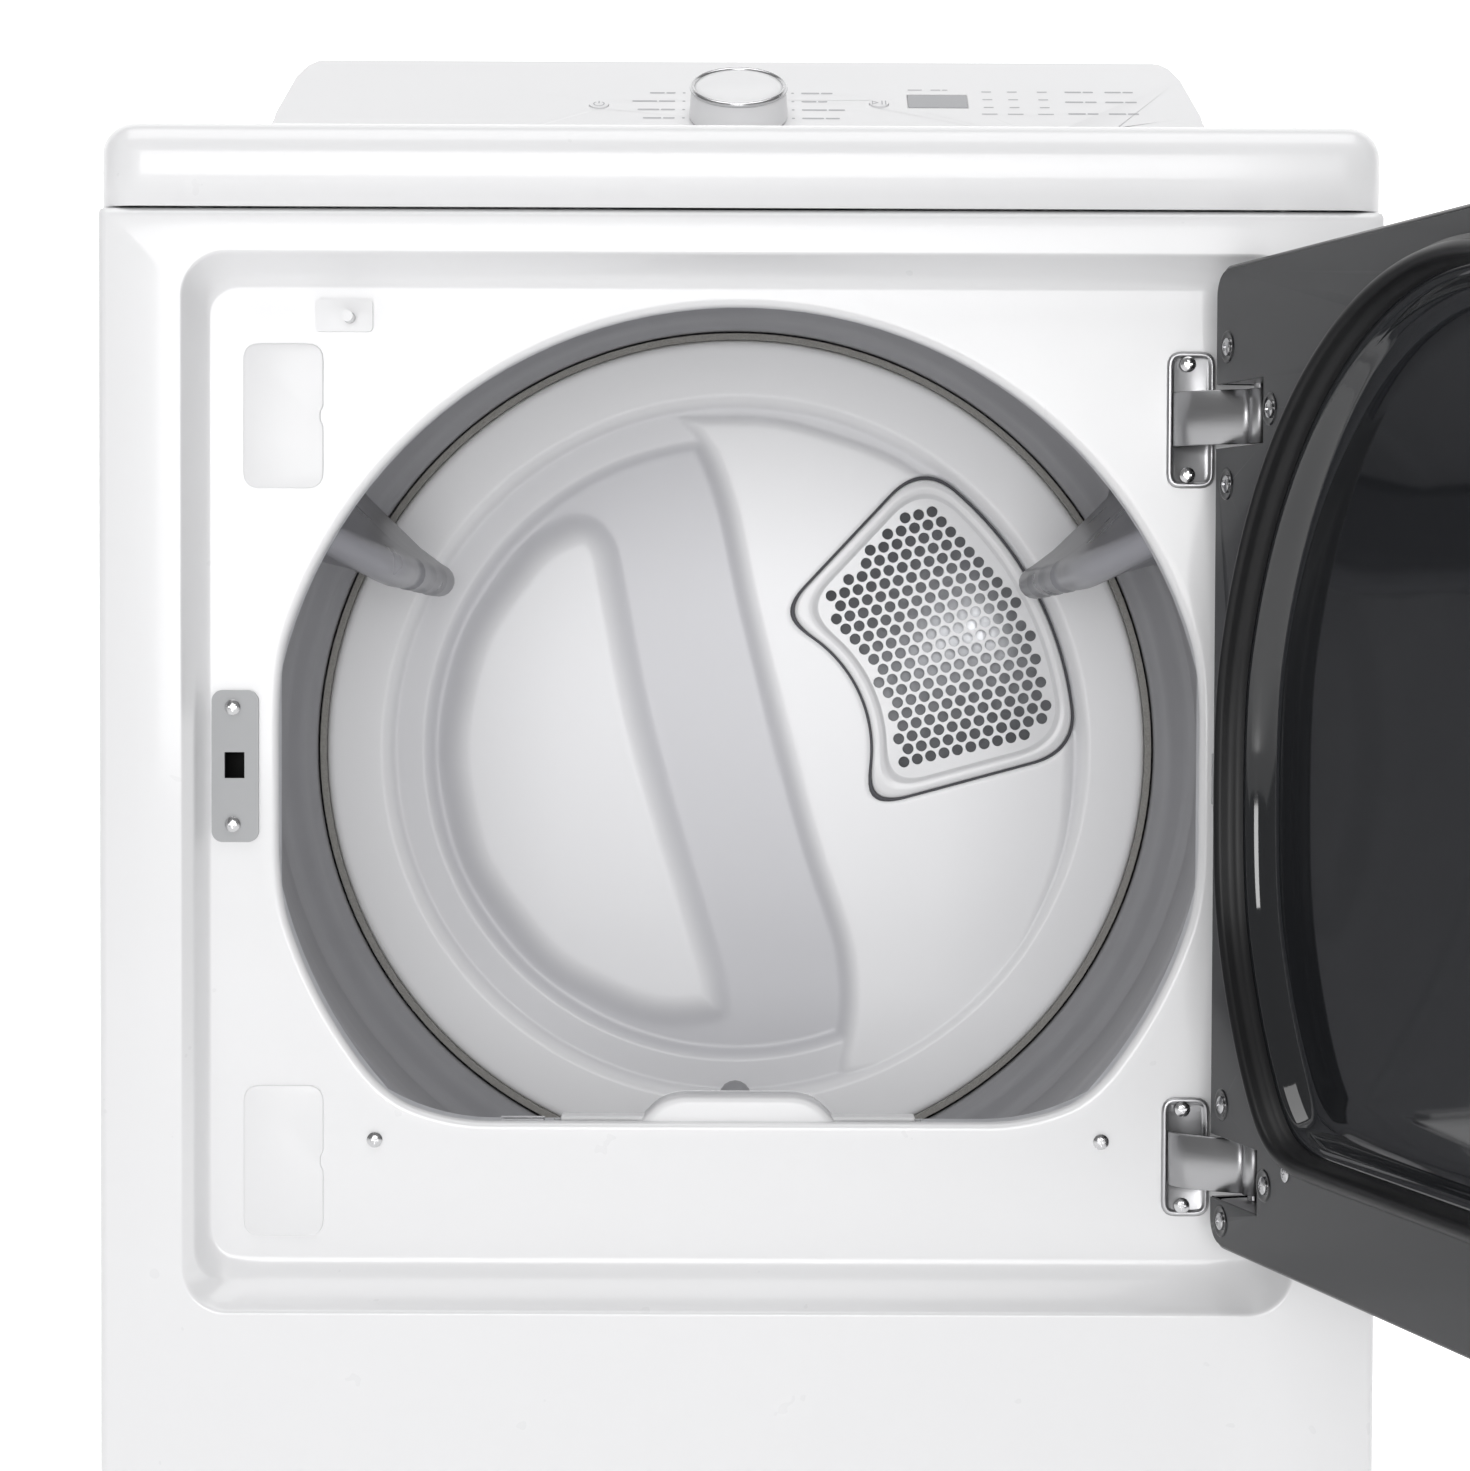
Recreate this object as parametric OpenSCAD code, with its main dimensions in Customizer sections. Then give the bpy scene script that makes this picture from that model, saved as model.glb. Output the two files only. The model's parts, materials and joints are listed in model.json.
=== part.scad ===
// Front-loading vented clothes dryer with a rear control console.
// Origin: centre of the four levelling feet, on the floor. +Z up, the door side faces -Y, +X right.

/* [Cabinet] */
// Width of the cabinet
body_w = 686; // [670:1:700]
// Depth of the cabinet, front face to rear face
body_d = 690; // [680:1:720]
// Height of the seam under the top cover
seam_z = 946; // [944:1:950]
// Height of the top cover's upper face
cover_z = 992; // [985:1:1000]
// Height of the console's top
console_z = 1130; // [1125:1:1135]
// Sheet metal thickness
sheet = 1.5; // [1.2:0.1:2]
// Height of the cabinet's lower edge above the floor
foot_h = 25; // [22:1:30]

/* [Front panel] */
// Depth of the door recess
recess_d = 22; // [20:1:24]
// Width of the recess at the front face
recess_w = 597; // [590:1:600]
// Slope width of the recess walls
recess_slope = 13; // [12:1:20]
// Radius of the mouth's arched top
mouth_r = 256.5; // [250:0.5:258]
// Height of the arch's centre
mouth_z = 639.5; // [636:0.5:642]
// Half width between the mouth's straight sides
mouth_half = 249.7; // [245:0.1:251]
// Height of the mouth's sill
mouth_sill = 454; // [450:1:458]

/* [Drum] */
// Height of the drum's axis
drum_z = 636; // [634:1:638]
// Outer radius of the drum's barrel
drum_r = 322; // [318:0.5:322]
// Radius of the four support rollers
roller_r = 38; // [34:1:40]
// Inward reach of the lifters, as a radius from the axis
lifter_tip_r = 231; // [225:1:250]

/* [Door] */
// Angle at which the door stands open
door_open = 104.5; // [90:0.5:105]
// Width of the door
door_w = 582; // [570:1:584]
// Height of the door
door_h = 522; // [510:1:524]
// Height of the door's centre
door_z = 654; // [650:1:656]
// Hinge axis, X
hinge_x = 274.5; // [272:0.5:276]
// Hinge axis, Y
hinge_y = -360; // [-361:0.5:-359]

/* [Console] */
// Slope of the console's face, from horizontal
face_tilt = 31; // [29:0.5:33]
// Radius of the cycle knob
knob_r = 34; // [30:0.5:36]
// Height of the cycle knob
knob_h = 24; // [18:1:28]

/* [Hidden] */
$fn = 96;
eps = 0.01;
gap = 0.3;                       // clearance between neighbouring pieces
half_w = body_w / 2;
y_front = -body_d / 2;
y_rear = body_d / 2;
y_floor = y_front + recess_d;    // outer surface of the recess floor
y_plate = y_floor + sheet + 1;   // front bulkhead's plate
recess_z = [354, 922];           // recess at the front face, bottom and top
recess_z_floor = [381, 904.6];   // recess floor, bottom and top
mouth_corner = 115;
y_tunnel = -290;                 // rear end of the front bulkhead's tunnel
y_lip = -288;                    // drum's front edge
bead = 2.5;                      // depth of the two ribs rolled into the drum
seal_r = 296;                    // front bulkhead's flange inside the drum
y_rear_plate = 286;              // rear bulkhead's plate
bulk_r = 292;                    // rear bulkhead's disc
y_disc = 262;                    // front edge of the disc's rim
roller_a = 38;                   // roller position, degrees from straight down
roller_x = (drum_r + roller_r + gap + 0.05) * sin(roller_a);
roller_z = drum_z - (drum_r + roller_r + gap + 0.05) * cos(roller_a);
roller_w = 24;
axle_r = 8;
fit = 0.05;                      // radial running clearance
motor_x = 150;
motor_z = 140;
motor_r = 58;
shaft_r = 6;
pulley_r = 11;
belt_y = [64, 74];
belt_t = 2.5;
belt_gap = 0.8;
idler = [-20, 215];              // idler pulley centre, X and Z
idler_r = 24;
pivot = [70, 200];               // idler arm pivot, X and Z
pipe = [0, 90];                  // exhaust pipe axis, X and Z
collar_r = 50.8;
heater = [225, 105];             // heater can axis, X and Z
can_r = 58;
hinge_zs = [835.6, 436.3];       // heights of the two hinges
strap_h = 29;
pin_r = 3;
notch_h = 17;                    // half height of the door's hinge notches
y_glass = [-371, -367];
y_inner = -341;                  // door's inner face when closed
gasket_r = 266;
gasket_z = 636;
gasket_w = 17;
face_y = 90;                     // a point on the console's sloped face
face_z = 1008;
knob_s = 131;                    // knob's distance up the slope from that point
foot_x = 300;                    // levelling feet, from the centre
foot_y = 300;
fan_r = [98, 238];               // air inlet's inner and outer radius about the drum axis
hole_pitch = 9.8;                // air inlet's perforation
hole_r = 3.4;

// ---- helpers ----

// An (X, Z) outline made solid between two Y planes.
module slab_y(y0, y1) {
    translate([0, y1, 0]) rotate([90, 0, 0]) linear_extrude(y1 - y0) children();
}

// A (Y, Z) outline made solid between two X planes.
module slab_x(x0, x1) {
    translate([x0, 0, 0]) rotate([90, 0, 90]) linear_extrude(x1 - x0) children();
}

// A cylinder along Y.
module rod_y(x, z, y0, y1, r) {
    translate([x, y1, z]) rotate([90, 0, 0]) cylinder(h = y1 - y0, r = r);
}

// A box given by its ranges.
module block(x, y, z) {
    translate([x[0], y[0], z[0]]) cube([x[1] - x[0], y[1] - y[0], z[1] - z[0]]);
}

// An (r, y) outline turned about an axis along Y.
module turned(x, z, outline) {
    translate([x, 0, z]) rotate([-90, 0, 0]) rotate_extrude($fn = 180) polygon(outline);
}

// A rectangle with round corners.
module rounded(x, y, r) {
    translate([x[0] + r, y[0]]) square([x[1] - x[0] - 2 * r, y[1] - y[0]]);
    translate([x[0], y[0] + r]) square([x[1] - x[0], y[1] - y[0] - 2 * r]);
    for (cx = [x[0] + r, x[1] - r], cy = [y[0] + r, y[1] - r]) translate([cx, cy]) circle(r = r);
}

function unit(v) = v / norm(v);
function perp(v) = [-v[1], v[0]];
function step_in(p, i) = i > 0 ? unit(p[i] - p[i - 1]) : unit(p[1] - p[0]);
function step_out(p, i) = i < len(p) - 1 ? unit(p[i + 1] - p[i]) : step_in(p, i);
function mitre(p, i) =
    let (a = perp(step_in(p, i)), m = unit(a + perp(step_out(p, i)))) m / (m * a);

// The outline of a sheet of thickness t that follows an open path.
function sheet_outline(p, t) = concat(
    [for (i = [0 : len(p) - 1]) p[i] + mitre(p, i) * t / 2],
    [for (i = [len(p) - 1 : -1 : 0]) p[i] - mitre(p, i) * t / 2]);

// The arched mouth with round lower corners, grown by g.
module mouth(g) {
    intersection() {
        translate([0, mouth_z]) circle(r = mouth_r + g, $fn = 180);
        rounded([-mouth_half - g, mouth_half + g], [mouth_sill - g, mouth_z + mouth_r + 60],
                mouth_corner + g);
    }
}

// The gasket's outer outline, grown by g.
module gasket_outline(g) {
    intersection() {
        translate([0, gasket_z]) circle(r = gasket_r + g, $fn = 180);
        rounded([-gasket_r + 2 - g, gasket_r - 2 + g], [446 - g, gasket_z + gasket_r + 60],
                118 + g);
    }
}

// Pieces of the door are drawn closed and turned open about the hinge axis.
module on_door() {
    translate([hinge_x, hinge_y, 0]) rotate([0, 0, door_open])
        translate([-hinge_x, -hinge_y, 0]) children();
}

// Pieces of the console lie on its sloped face: X, distance up the slope, height above it.
module on_face(x, s) {
    translate([0, face_y, face_z]) rotate([face_tilt, 0, 0]) translate([x, s, 0]) children();
}

// A screw with a domed head and a cross recess, head towards -Y.
module screw_y(x, y, z, r = 4.2, length = 10) {
    translate([x, y, z]) rotate([90, 0, 0]) difference() {
        union() {
            intersection() {
                cylinder(h = 2.2, r = r);
                translate([0, 0, 2.2 - 9]) sphere(r = 9);
            }
            translate([0, 0, -length]) cylinder(h = length + eps, r = 1.9);
        }
        for (a = [0, 90]) rotate(a) translate([-2.2, -0.5, 1]) cube([4.4, 1, 2]);
    }
}

// ---- cabinet ----

module side_panel(side) {
    y = [y_front + 20.5, y_rear];
    z = [foot_h, seam_z - 0.5];
    color("white") mirror([side < 0 ? 1 : 0, 0, 0]) {
        block([half_w - sheet, half_w], y, z);
        for (zz = [z[0], z[1] - sheet])
            block([half_w - 14, half_w - sheet + eps], [y[0], y[1] - 4], [zz, zz + sheet]);
    }
}

module side_panel_left() { side_panel(-1); }
module side_panel_right() { side_panel(1); }

module rear_panel() {
    color("gainsboro") difference() {
        slab_y(y_rear - 2, y_rear - 0.5) difference() {
            rounded([-half_w + sheet + gap, half_w - sheet - gap], [foot_h + 3, seam_z - 3], 4);
            translate(pipe) circle(r = collar_r + 1.7);
            translate([-220, 820]) circle(r = 14);
            for (i = [0 : 7], x = [-260, -150])
                translate([x, 300 + 14 * i]) rounded([-40, 40], [-2.5, 2.5], 2.4);
        }
    }
}

module base_pan() {
    x = half_w - sheet - gap;
    y = [y_front + 20.8, y_rear - 2.5];
    color("silver") difference() {
        union() {
            block([-x, x], y, [foot_h, foot_h + sheet]);
            for (s = [-1, 1])
                block([min(s * x, s * (x - sheet)), max(s * x, s * (x - sheet))], y,
                      [foot_h + 2, foot_h + 22]);
            for (yy = [y[0], y[1] - sheet])
                block([-x, x], [yy, yy + sheet], [foot_h, foot_h + 22]);
        }
        for (sx = [-1, 1], sy = [-1, 1])
            translate([sx * foot_x, sy * foot_y, foot_h - 1]) cylinder(h = 4, r = 5.4);
        rod_y(pipe[0], pipe[1], y[1] - 2, y[1] + 1, collar_r + 0.7 + gap);
        // clears the side panels' lower flanges
        for (s = [-1, 1])
            block([min(s * (half_w - 15), s * half_w), max(s * (half_w - 15), s * half_w)],
                  [y[0] - 1, y[1] + 1], [foot_h - 1, foot_h + sheet + gap]);
    }
}

module levelling_feet() {
    color("dimgray") for (sx = [-1, 1], sy = [-1, 1]) translate([sx * foot_x, sy * foot_y, 0]) {
        cylinder(h = 10, r = 20);
        cylinder(h = 48, r = 5);
        translate([0, 0, 15]) cylinder(h = 7, r = 10, $fn = 6);
    }
}

// The top cover's block: plan, front view and side view cut together, shrunk by g.
module cover_block(g, z0) {
    r_plan = 20 - g;
    r_edge = 17 - g;
    intersection() {
        translate([0, 0, z0]) linear_extrude(cover_z - g - z0)
            rounded([-half_w + g, half_w - g], [y_front + g, y_rear - g], r_plan);
        slab_y(y_front - 1, y_rear + 1)
            rounded([-half_w + g, half_w - g], [seam_z - 60, cover_z - g], r_edge);
        slab_x(-half_w, half_w)
            rounded([y_front + g, y_rear + 60], [seam_z - 60, cover_z - g], r_edge);
    }
}

module top_cover() {
    color("white") difference() {
        cover_block(0, seam_z);
        cover_block(2, seam_z - 1);
        translate([0, 0, seam_z - 2]) block([-half_w - 1, half_w + 1], [340, 400], [0, 20]);
    }
}

// ---- console ----

// Side view of the console below its sloped face, lowered by g and shrunk by w.
module console_side(g, w) {
    t = tan(face_tilt);
    drop = g / cos(face_tilt);
    y0 = 80 + w;
    y1 = 290 + g * 0.5;
    polygon([[y0, cover_z + 0.3 + w], [y0, face_z + (y0 - face_y) * t - drop],
        [y1, face_z + (y1 - face_y) * t - drop], [y1 + 6, console_z - 1 - w],
        [y1 + 14, console_z - w], [334 - w, console_z - w], [338 - w, console_z - 4 - w],
        [338 - w, cover_z + 0.3 + w]]);
}

// Front view of the console: sides that lean in and round shoulders.
module console_front(w) {
    polygon([[-324 + w, cover_z], [324 - w, cover_z], [322 - w, 1070], [313 - w, 1112],
        [307 - w, 1123 - w / 2], [296 - w, console_z + 1 - w], [-296 + w, console_z + 1 - w],
        [-307 + w, 1123 - w / 2], [-313 + w, 1112], [-322 + w, 1070]]);
}

module console_housing() {
    color("white") difference() {
        intersection() {
            slab_x(-324, 324) console_side(3, 0);
            slab_y(40, 340) console_front(0);
        }
        intersection() {
            slab_x(-324, 324) console_side(5.5, 2.5);
            slab_y(40, 340) console_front(2.5);
        }
        on_face(0, 0) translate([-285, 20, -10]) cube([570, 190, 20]);
    }
}

buttons = [[-97, 152, 6.5], [98, 156, 6.5], [190, 108, 6], [222, 108, 6], [260, 108, 6]];

module console_fascia() {
    color("white") difference() {
        intersection() {
            on_face(0, 0) translate([-320, -24, -2.7]) cube([640, 256, 2.7]);
            slab_y(40, 340) console_front(0.3);
        }
        on_face(0, knob_s) translate([0, 0, -5]) cylinder(h = 10, r = 8);
        for (b = buttons) on_face(b[0], b[1]) translate([0, 0, -5]) cylinder(h = 10, r = b[2] + gap);
        on_face(118, 149) translate([0, 0, -1.2]) cube([42, 24, 5]);
    }
}

module display_window() {
    color("dimgray") on_face(118.3, 149.3) translate([0, 0, -1.2]) cube([41.4, 23.4, 1.3]);
}

module cycle_knob() {
    color("white") on_face(0, knob_s) {
        translate([0, 0, 0.5]) rotate_extrude() polygon([[0, 0], [knob_r - 0.5, 0], [knob_r, 1],
            [knob_r - 1.5, knob_h - 4], [knob_r - 2, knob_h - 4], [knob_r - 2, knob_h - 1.2],
            [0, knob_h - 1.2]]);
        translate([0, 0, -8]) cylinder(h = 9, r = 5);
    }
}

module knob_ring() {
    color("silver") on_face(0, knob_s) translate([0, 0, 0.5]) rotate_extrude()
        polygon([[knob_r - 1.9, knob_h - 3.9], [knob_r - 0.6, knob_h - 3.9],
            [knob_r - 0.4, knob_h - 1], [knob_r - 1.2, knob_h], [knob_r - 3.4, knob_h],
            [knob_r - 3.8, knob_h - 1.1], [knob_r - 1.9, knob_h - 1.1]]);
}

module button(i) {
    b = buttons[i];
    color("whitesmoke") on_face(b[0], b[1]) {
        translate([0, 0, -4]) cylinder(h = 4.8, r = b[2]);
        translate([0, 0, -6]) cylinder(h = 2 + eps, r = b[2] + 1.5);
    }
}

module power_button() { button(0); }
module start_button() { button(1); }
module option_button_1() { button(2); }
module option_button_2() { button(3); }
module option_button_3() { button(4); }

module control_board() {
    color("darkgreen") on_face(0, 0) {
        translate([-150, 60, -14]) cube([430, 110, 1.6]);
        for (b = buttons) translate([b[0] - 4, b[1] - 4, -12.4]) cube([8, 8, 4.6]);
        translate([-14, knob_s - 14, -12.4]) cube([28, 28, 3.8]);
    }
}

// ---- front panel and bulkheads ----

// The door recess as a void, grown by g and moved back by g.
module recess(g) {
    hw = recess_w / 2 + g;
    fw = hw - recess_slope;
    hull() {
        slab_y(y_front - eps + g, y_front + g)
            rounded([-hw, hw], [recess_z[0] - g, recess_z[1] + g], 24 + g, $fn = 32);
        slab_y(y_floor - eps + g, y_floor + g)
            rounded([-fw, fw], [recess_z_floor[0] - g, recess_z_floor[1] + g], 14 + g, $fn = 32);
    }
}

module front_panel() {
    z = [foot_h + 1, seam_z - 0.5];
    color("white") difference() {
        union() {
            difference() {
                translate([0, 0, z[0]]) linear_extrude(z[1] - z[0])
                    rounded([-half_w, half_w], [y_front, y_front + 30], 5);
                translate([0, 0, z[0] + sheet]) linear_extrude(z[1] - z[0] - 2 * sheet)
                    rounded([-half_w + sheet, half_w - sheet], [y_front + sheet, y_front + 40],
                            3.5);
                block([-half_w - 1, half_w + 1], [y_front + 20, y_front + 41],
                      [z[0] - 1, z[1] + 1]);
            }
            recess(sheet);
        }
        recess(0);
        slab_y(y_front - 1, y_floor + 5) mouth(0);
        block([-278.3, -267.5], [y_floor - 1, y_floor + 5], [640.4, 654.5]);
        rod_y(-210.7, 888.8, y_floor - 1, y_floor + 5, 4);
        for (x = [-197.2, 197.2]) rod_y(x, 444.2, y_floor - 1, y_floor + 5, 2.2);
        for (zz = [678.8, 615.5]) rod_y(-273.8, zz, y_floor - 1, y_floor + 5, 2.2);
        for (h = hinge_zs, dz = [-29.8, 29.8]) rod_y(241, h + dz * hinge_scale(h), y_floor - 1,
                                                     y_floor + 5, 2.2);
    }
    // rim turned inwards round the mouth
    color("white") slab_y(y_floor + sheet - eps, y_floor + 7) difference() {
        mouth(sheet);
        mouth(0);
    }
}

// The lower hinge plate is a little shorter than the upper one.
function hinge_scale(z) = z > drum_z ? 1 : 0.88;

module front_bulkhead() {
    color("lightgray") difference() {
        union() {
            slab_y(y_plate, y_plate + sheet) difference() {
                rounded([-335, 335], [228, 940], 12);
                mouth(2.2);
            }
            slab_y(y_plate, y_tunnel) difference() {
                mouth(3.7);
                mouth(2.2);
            }
            slab_y(y_tunnel - sheet, y_tunnel) difference() {
                translate([0, drum_z]) circle(r = seal_r, $fn = 180);
                mouth(2.2);
            }
            slab_y(y_tunnel - eps, y_tunnel + 28) difference() {
                translate([0, drum_z]) circle(r = seal_r, $fn = 180);
                translate([0, drum_z]) circle(r = seal_r - sheet, $fn = 180);
            }
        }
        block([-101, 101], [-313.5, -292.5], [420, 460]);
        block([-280, -265], [y_plate - 1, y_plate + 3], [638, 657]);
        rod_y(-210.7, 888.8, y_plate - 1, y_plate + 3, 4);
        for (x = [-197.2, 197.2]) rod_y(x, 444.2, y_plate - 1, y_plate + 3, 2.2);
        for (zz = [678.8, 615.5]) rod_y(-273.8, zz, y_plate - 1, y_plate + 3, 2.2);
        for (h = hinge_zs, dz = [-29.8, 29.8]) rod_y(241, h + dz * hinge_scale(h), y_plate - 1,
                                                     y_plate + 3, 2.2);
        for (s = [-1, 1]) rod_y(s * roller_x, roller_z, y_plate - 1, y_plate + 3, axle_r);
    }
}

// The fan-shaped air inlet, grown by g.
module fan(g) {
    translate([0, drum_z]) intersection() {
        difference() {
            circle(r = fan_r[1] + g, $fn = 180);
            circle(r = fan_r[0] - g, $fn = 180);
        }
        polygon([[26 - g, 92 + g], [140, 214 + g * 1.5], [262 + g, 150], [256 + g, 2 - g],
            [98, -40 - g * 1.1], [40, -20]]);
    }
}

module rear_bulkhead() {
    disc = sheet_outline([[0.01, 273], [240, 273], [247, 268], [283, 266], [288, 263.5],
        [bulk_r - 0.75, 266], [bulk_r - 0.75, y_rear_plate + 1]], sheet);
    color("gainsboro") difference() {
        union() {
            turned(0, drum_z, disc);
            slab_y(y_rear_plate, y_rear_plate + sheet) difference() {
                rounded([-335, 335], [262, 940], 12);
                translate([0, drum_z]) circle(r = bulk_r - sheet, $fn = 180);
            }
            // pressed relief: left kidney and right field stand forward
            translate([0, 0, drum_z]) slab_y(267, 273) {
                polygon([for (a = [100 : 8 : 252]) 216 * [cos(a), sin(a)], [-40, -190],
                    [-26, -110], [-60, 20], [-84, 130]]);
                intersection() {
                    circle(r = 238);
                    polygon([[-70, 240], [-30, 212], [-12, 170], [2, 100], [22, 30], [50, -76],
                        [74, -148], [78, -190], [64, -250], [300, -250], [300, 240]]);
                }
            }
        }
        slab_y(y_disc - 1, y_rear_plate + 4) fan(0);
        for (s = [-1, 1]) rod_y(s * roller_x, roller_z, y_rear_plate - 1, y_rear_plate + 3, axle_r);
    }
}

module air_inlet_grille() {
    rows = 30;
    color("white") difference() {
        slab_y(264, 266.2) difference() {
            fan(-0.6);
            translate([134, drum_z + 88]) rotate(-13) for (i = [-rows / 2 : rows / 2],
                    j = [-rows / 2 : rows / 2]) {
                x = (i + (j % 2 == 0 ? 0 : 0.5)) * hole_pitch;
                y = j * hole_pitch * 0.866;
                if (in_fan(134 + x * cos(13) + y * sin(13), 88 - x * sin(13) + y * cos(13)))
                    translate([x, y]) circle(r = hole_r, $fn = 16);
            }
        }
    }
}

// Is a hole at (x, z) about the drum axis well inside the air inlet's rim?
function in_fan(x, z) =
    let (r = norm([x, z]), margin = 15)
    r > fan_r[0] + margin && r < fan_r[1] - margin
    && side_of([26, 92], [140, 214], [x, z]) > margin
    && side_of([98, -40], [256, 2], [x, z]) < -margin;
function side_of(a, b, p) = let (d = unit(b - a)) -(d[0] * (p[1] - a[1]) - d[1] * (p[0] - a[0]));

// ---- drum ----

module drum_felts() {
    color("tan") {
        slab_y(-287, -266) difference() {
            translate([0, drum_z]) circle(r = 299.6, $fn = 180);
            translate([0, drum_z]) circle(r = seal_r + 0.1, $fn = 180);
        }
        slab_y(y_disc + 4, 282) difference() {
            translate([0, drum_z]) circle(r = 296.2, $fn = 180);
            translate([0, drum_z]) circle(r = bulk_r + 0.1, $fn = 180);
        }
    }
}

module drum() {
    r = drum_r - sheet / 2;
    path = [[301, y_lip], [301, -271], [305, -264], [314, -257], [r - 1.5, -251], [r, -244],
        [r, -92], [r - bead, -88], [r - bead, -80], [r, -76], [r, 104], [r - bead, 108],
        [r - bead, 116], [r, 120], [r, 205], [r - 1.2, 215], [r - 4.5, 225], [r - 9.5, 233],
        [r - 15, 238], [r - 17, 244], [r - 21, 250], [298, 256], [298, 272]];
    color("gray") turned(0, drum_z, sheet_outline(path, sheet));
}

// Cross-section of a lifter that points along +X, shrunk by g.
module lifter_outline(g) {
    nose = 11;
    tip = lifter_tip_r + nose;
    translate([tip, 0]) circle(r = nose - g);
    polygon([[tip + 2, nose - 0.2 - g], [tip + 2, 0.2 - nose + g], [304, g - 30], [330, g - 40],
        [330, 40 - g], [304, 30 - g]]);
}

module drum_lifters() {
    base_r = drum_r - sheet - bead - gap;
    wall = 3;
    color("gray") for (a = [30, 150, 270]) translate([0, 0, drum_z]) rotate([0, -a, 0]) {
        difference() {
            slab_y(-232, 200) intersection() {
                circle(r = base_r, $fn = 180);
                lifter_outline(0);
            }
            slab_y(-232 + wall, 200 - wall) intersection() {
                circle(r = base_r + 1, $fn = 180);
                lifter_outline(wall);
            }
        }
    }
}

module drum_belt() {
    module loop(g) {
        hull() {
            translate([0, drum_z]) circle(r = drum_r + belt_gap + g, $fn = 160);
            translate([motor_x, motor_z]) circle(r = pulley_r + 0.6 + g, $fn = 32);
            translate(idler) circle(r = idler_r + 0.6 + g, $fn = 48);
        }
    }
    color("dimgray") slab_y(belt_y[0], belt_y[1]) difference() {
        loop(belt_t);
        loop(0);
    }
}

module roller(side, y0) {
    color("dimgray") difference() {
        rod_y(side * roller_x, roller_z, y0, y0 + roller_w, roller_r);
        rod_y(side * roller_x, roller_z, y0 - 1, y0 + roller_w + 1, axle_r + fit);
        for (y = [y0 - 1, y0 + roller_w - 5]) slab_y(y, y + 6) difference() {
            translate([side * roller_x, roller_z]) circle(r = 30);
            translate([side * roller_x, roller_z]) circle(r = 15);
        }
    }
}

front_roller_y = -240;
rear_roller_y = 170;

module roller_front_left() { roller(-1, front_roller_y); }
module roller_front_right() { roller(1, front_roller_y); }
module roller_rear_left() { roller(-1, rear_roller_y); }
module roller_rear_right() { roller(1, rear_roller_y); }

module roller_axles() {
    color("silver") for (s = [-1, 1]) {
        rod_y(s * roller_x, roller_z, y_plate, front_roller_y + roller_w + 6, axle_r);
        rod_y(s * roller_x, roller_z, front_roller_y - 8, front_roller_y - gap, 13);
        rod_y(s * roller_x, roller_z, rear_roller_y - 6, y_rear_plate + sheet, axle_r);
        rod_y(s * roller_x, roller_z, rear_roller_y + roller_w + gap, rear_roller_y + roller_w + 8, 13);
    }
}

// ---- drive and air path ----

module motor_housing() {
    color("silver") difference() {
        union() {
            rod_y(motor_x, motor_z, -150, -20, motor_r);
            rod_y(motor_x, motor_z, -158, -12, 16);
        }
        rod_y(motor_x, motor_z, -140, -30, 28);
        rod_y(motor_x, motor_z, -160, 0, shaft_r + fit);
    }
}

module motor_bracket() {
    z0 = foot_h + sheet + gap;
    color("darkgray") {
        difference() {
            union() {
                block([motor_x - 70, motor_x + 62], [-146, -24], [z0, z0 + 2]);
                for (y = [-142, -34]) block([motor_x - 62, motor_x + 58], [y, y + 4], [z0, motor_z - 20]);
            }
            rod_y(motor_x, motor_z, -160, 0, motor_r + gap);
        }
        // stand for the idler arm's pivot
        block([pivot[0] - 15, pivot[0] + 15], [96, 99], [z0, pivot[1] + 12]);
        block([pivot[0] - 15, pivot[0] + 15], [70, 99], [z0, z0 + 2]);
        rod_y(pivot[0], pivot[1], 77, 97, 5);
    }
}

module motor_shaft() {
    color("silver") {
        rod_y(motor_x, motor_z, -252, 92, shaft_r);
        rod_y(motor_x, motor_z, -130, -40, 27);
        rod_y(motor_x, motor_z, belt_y[0] - 2, belt_y[1] + 2, pulley_r);
        for (y = [belt_y[0] - 4, belt_y[1] + 2]) rod_y(motor_x, motor_z, y, y + 2, pulley_r + 4);
    }
}

module blower_wheel() {
    blades = 24;
    color("ivory") difference() {
        union() {
            rod_y(motor_x, motor_z, -210, -207, 88);
            rod_y(motor_x, motor_z, -240, -202, 14);
            translate([motor_x, 0, motor_z]) for (i = [0 : blades - 1])
                rotate([0, i * 360 / blades, 0]) translate([58, -252, -1]) cube([28, 42.5, 2]);
            slab_y(-254, -251) translate([motor_x, motor_z]) difference() {
                circle(r = 88);
                circle(r = 58);
            }
        }
        rod_y(motor_x, motor_z, -260, -200, shaft_r);
    }
}

module scroll(g) {
    translate([motor_x, motor_z]) circle(r = 104 - g);
    translate([-58 + g, 38 + g]) square([motor_x + 58 - g, 104 - 2 * g]);
}

module blower_housing() {
    color("whitesmoke") difference() {
        slab_y(-262, -196) scroll(0);
        slab_y(-260, -198) scroll(2);
        rod_y(motor_x, motor_z, -264, -250, 60);
        rod_y(motor_x, motor_z, -200, -190, 10);
        rod_y(pipe[0], pipe[1], -200, -190, collar_r - 1);
    }
}

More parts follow.
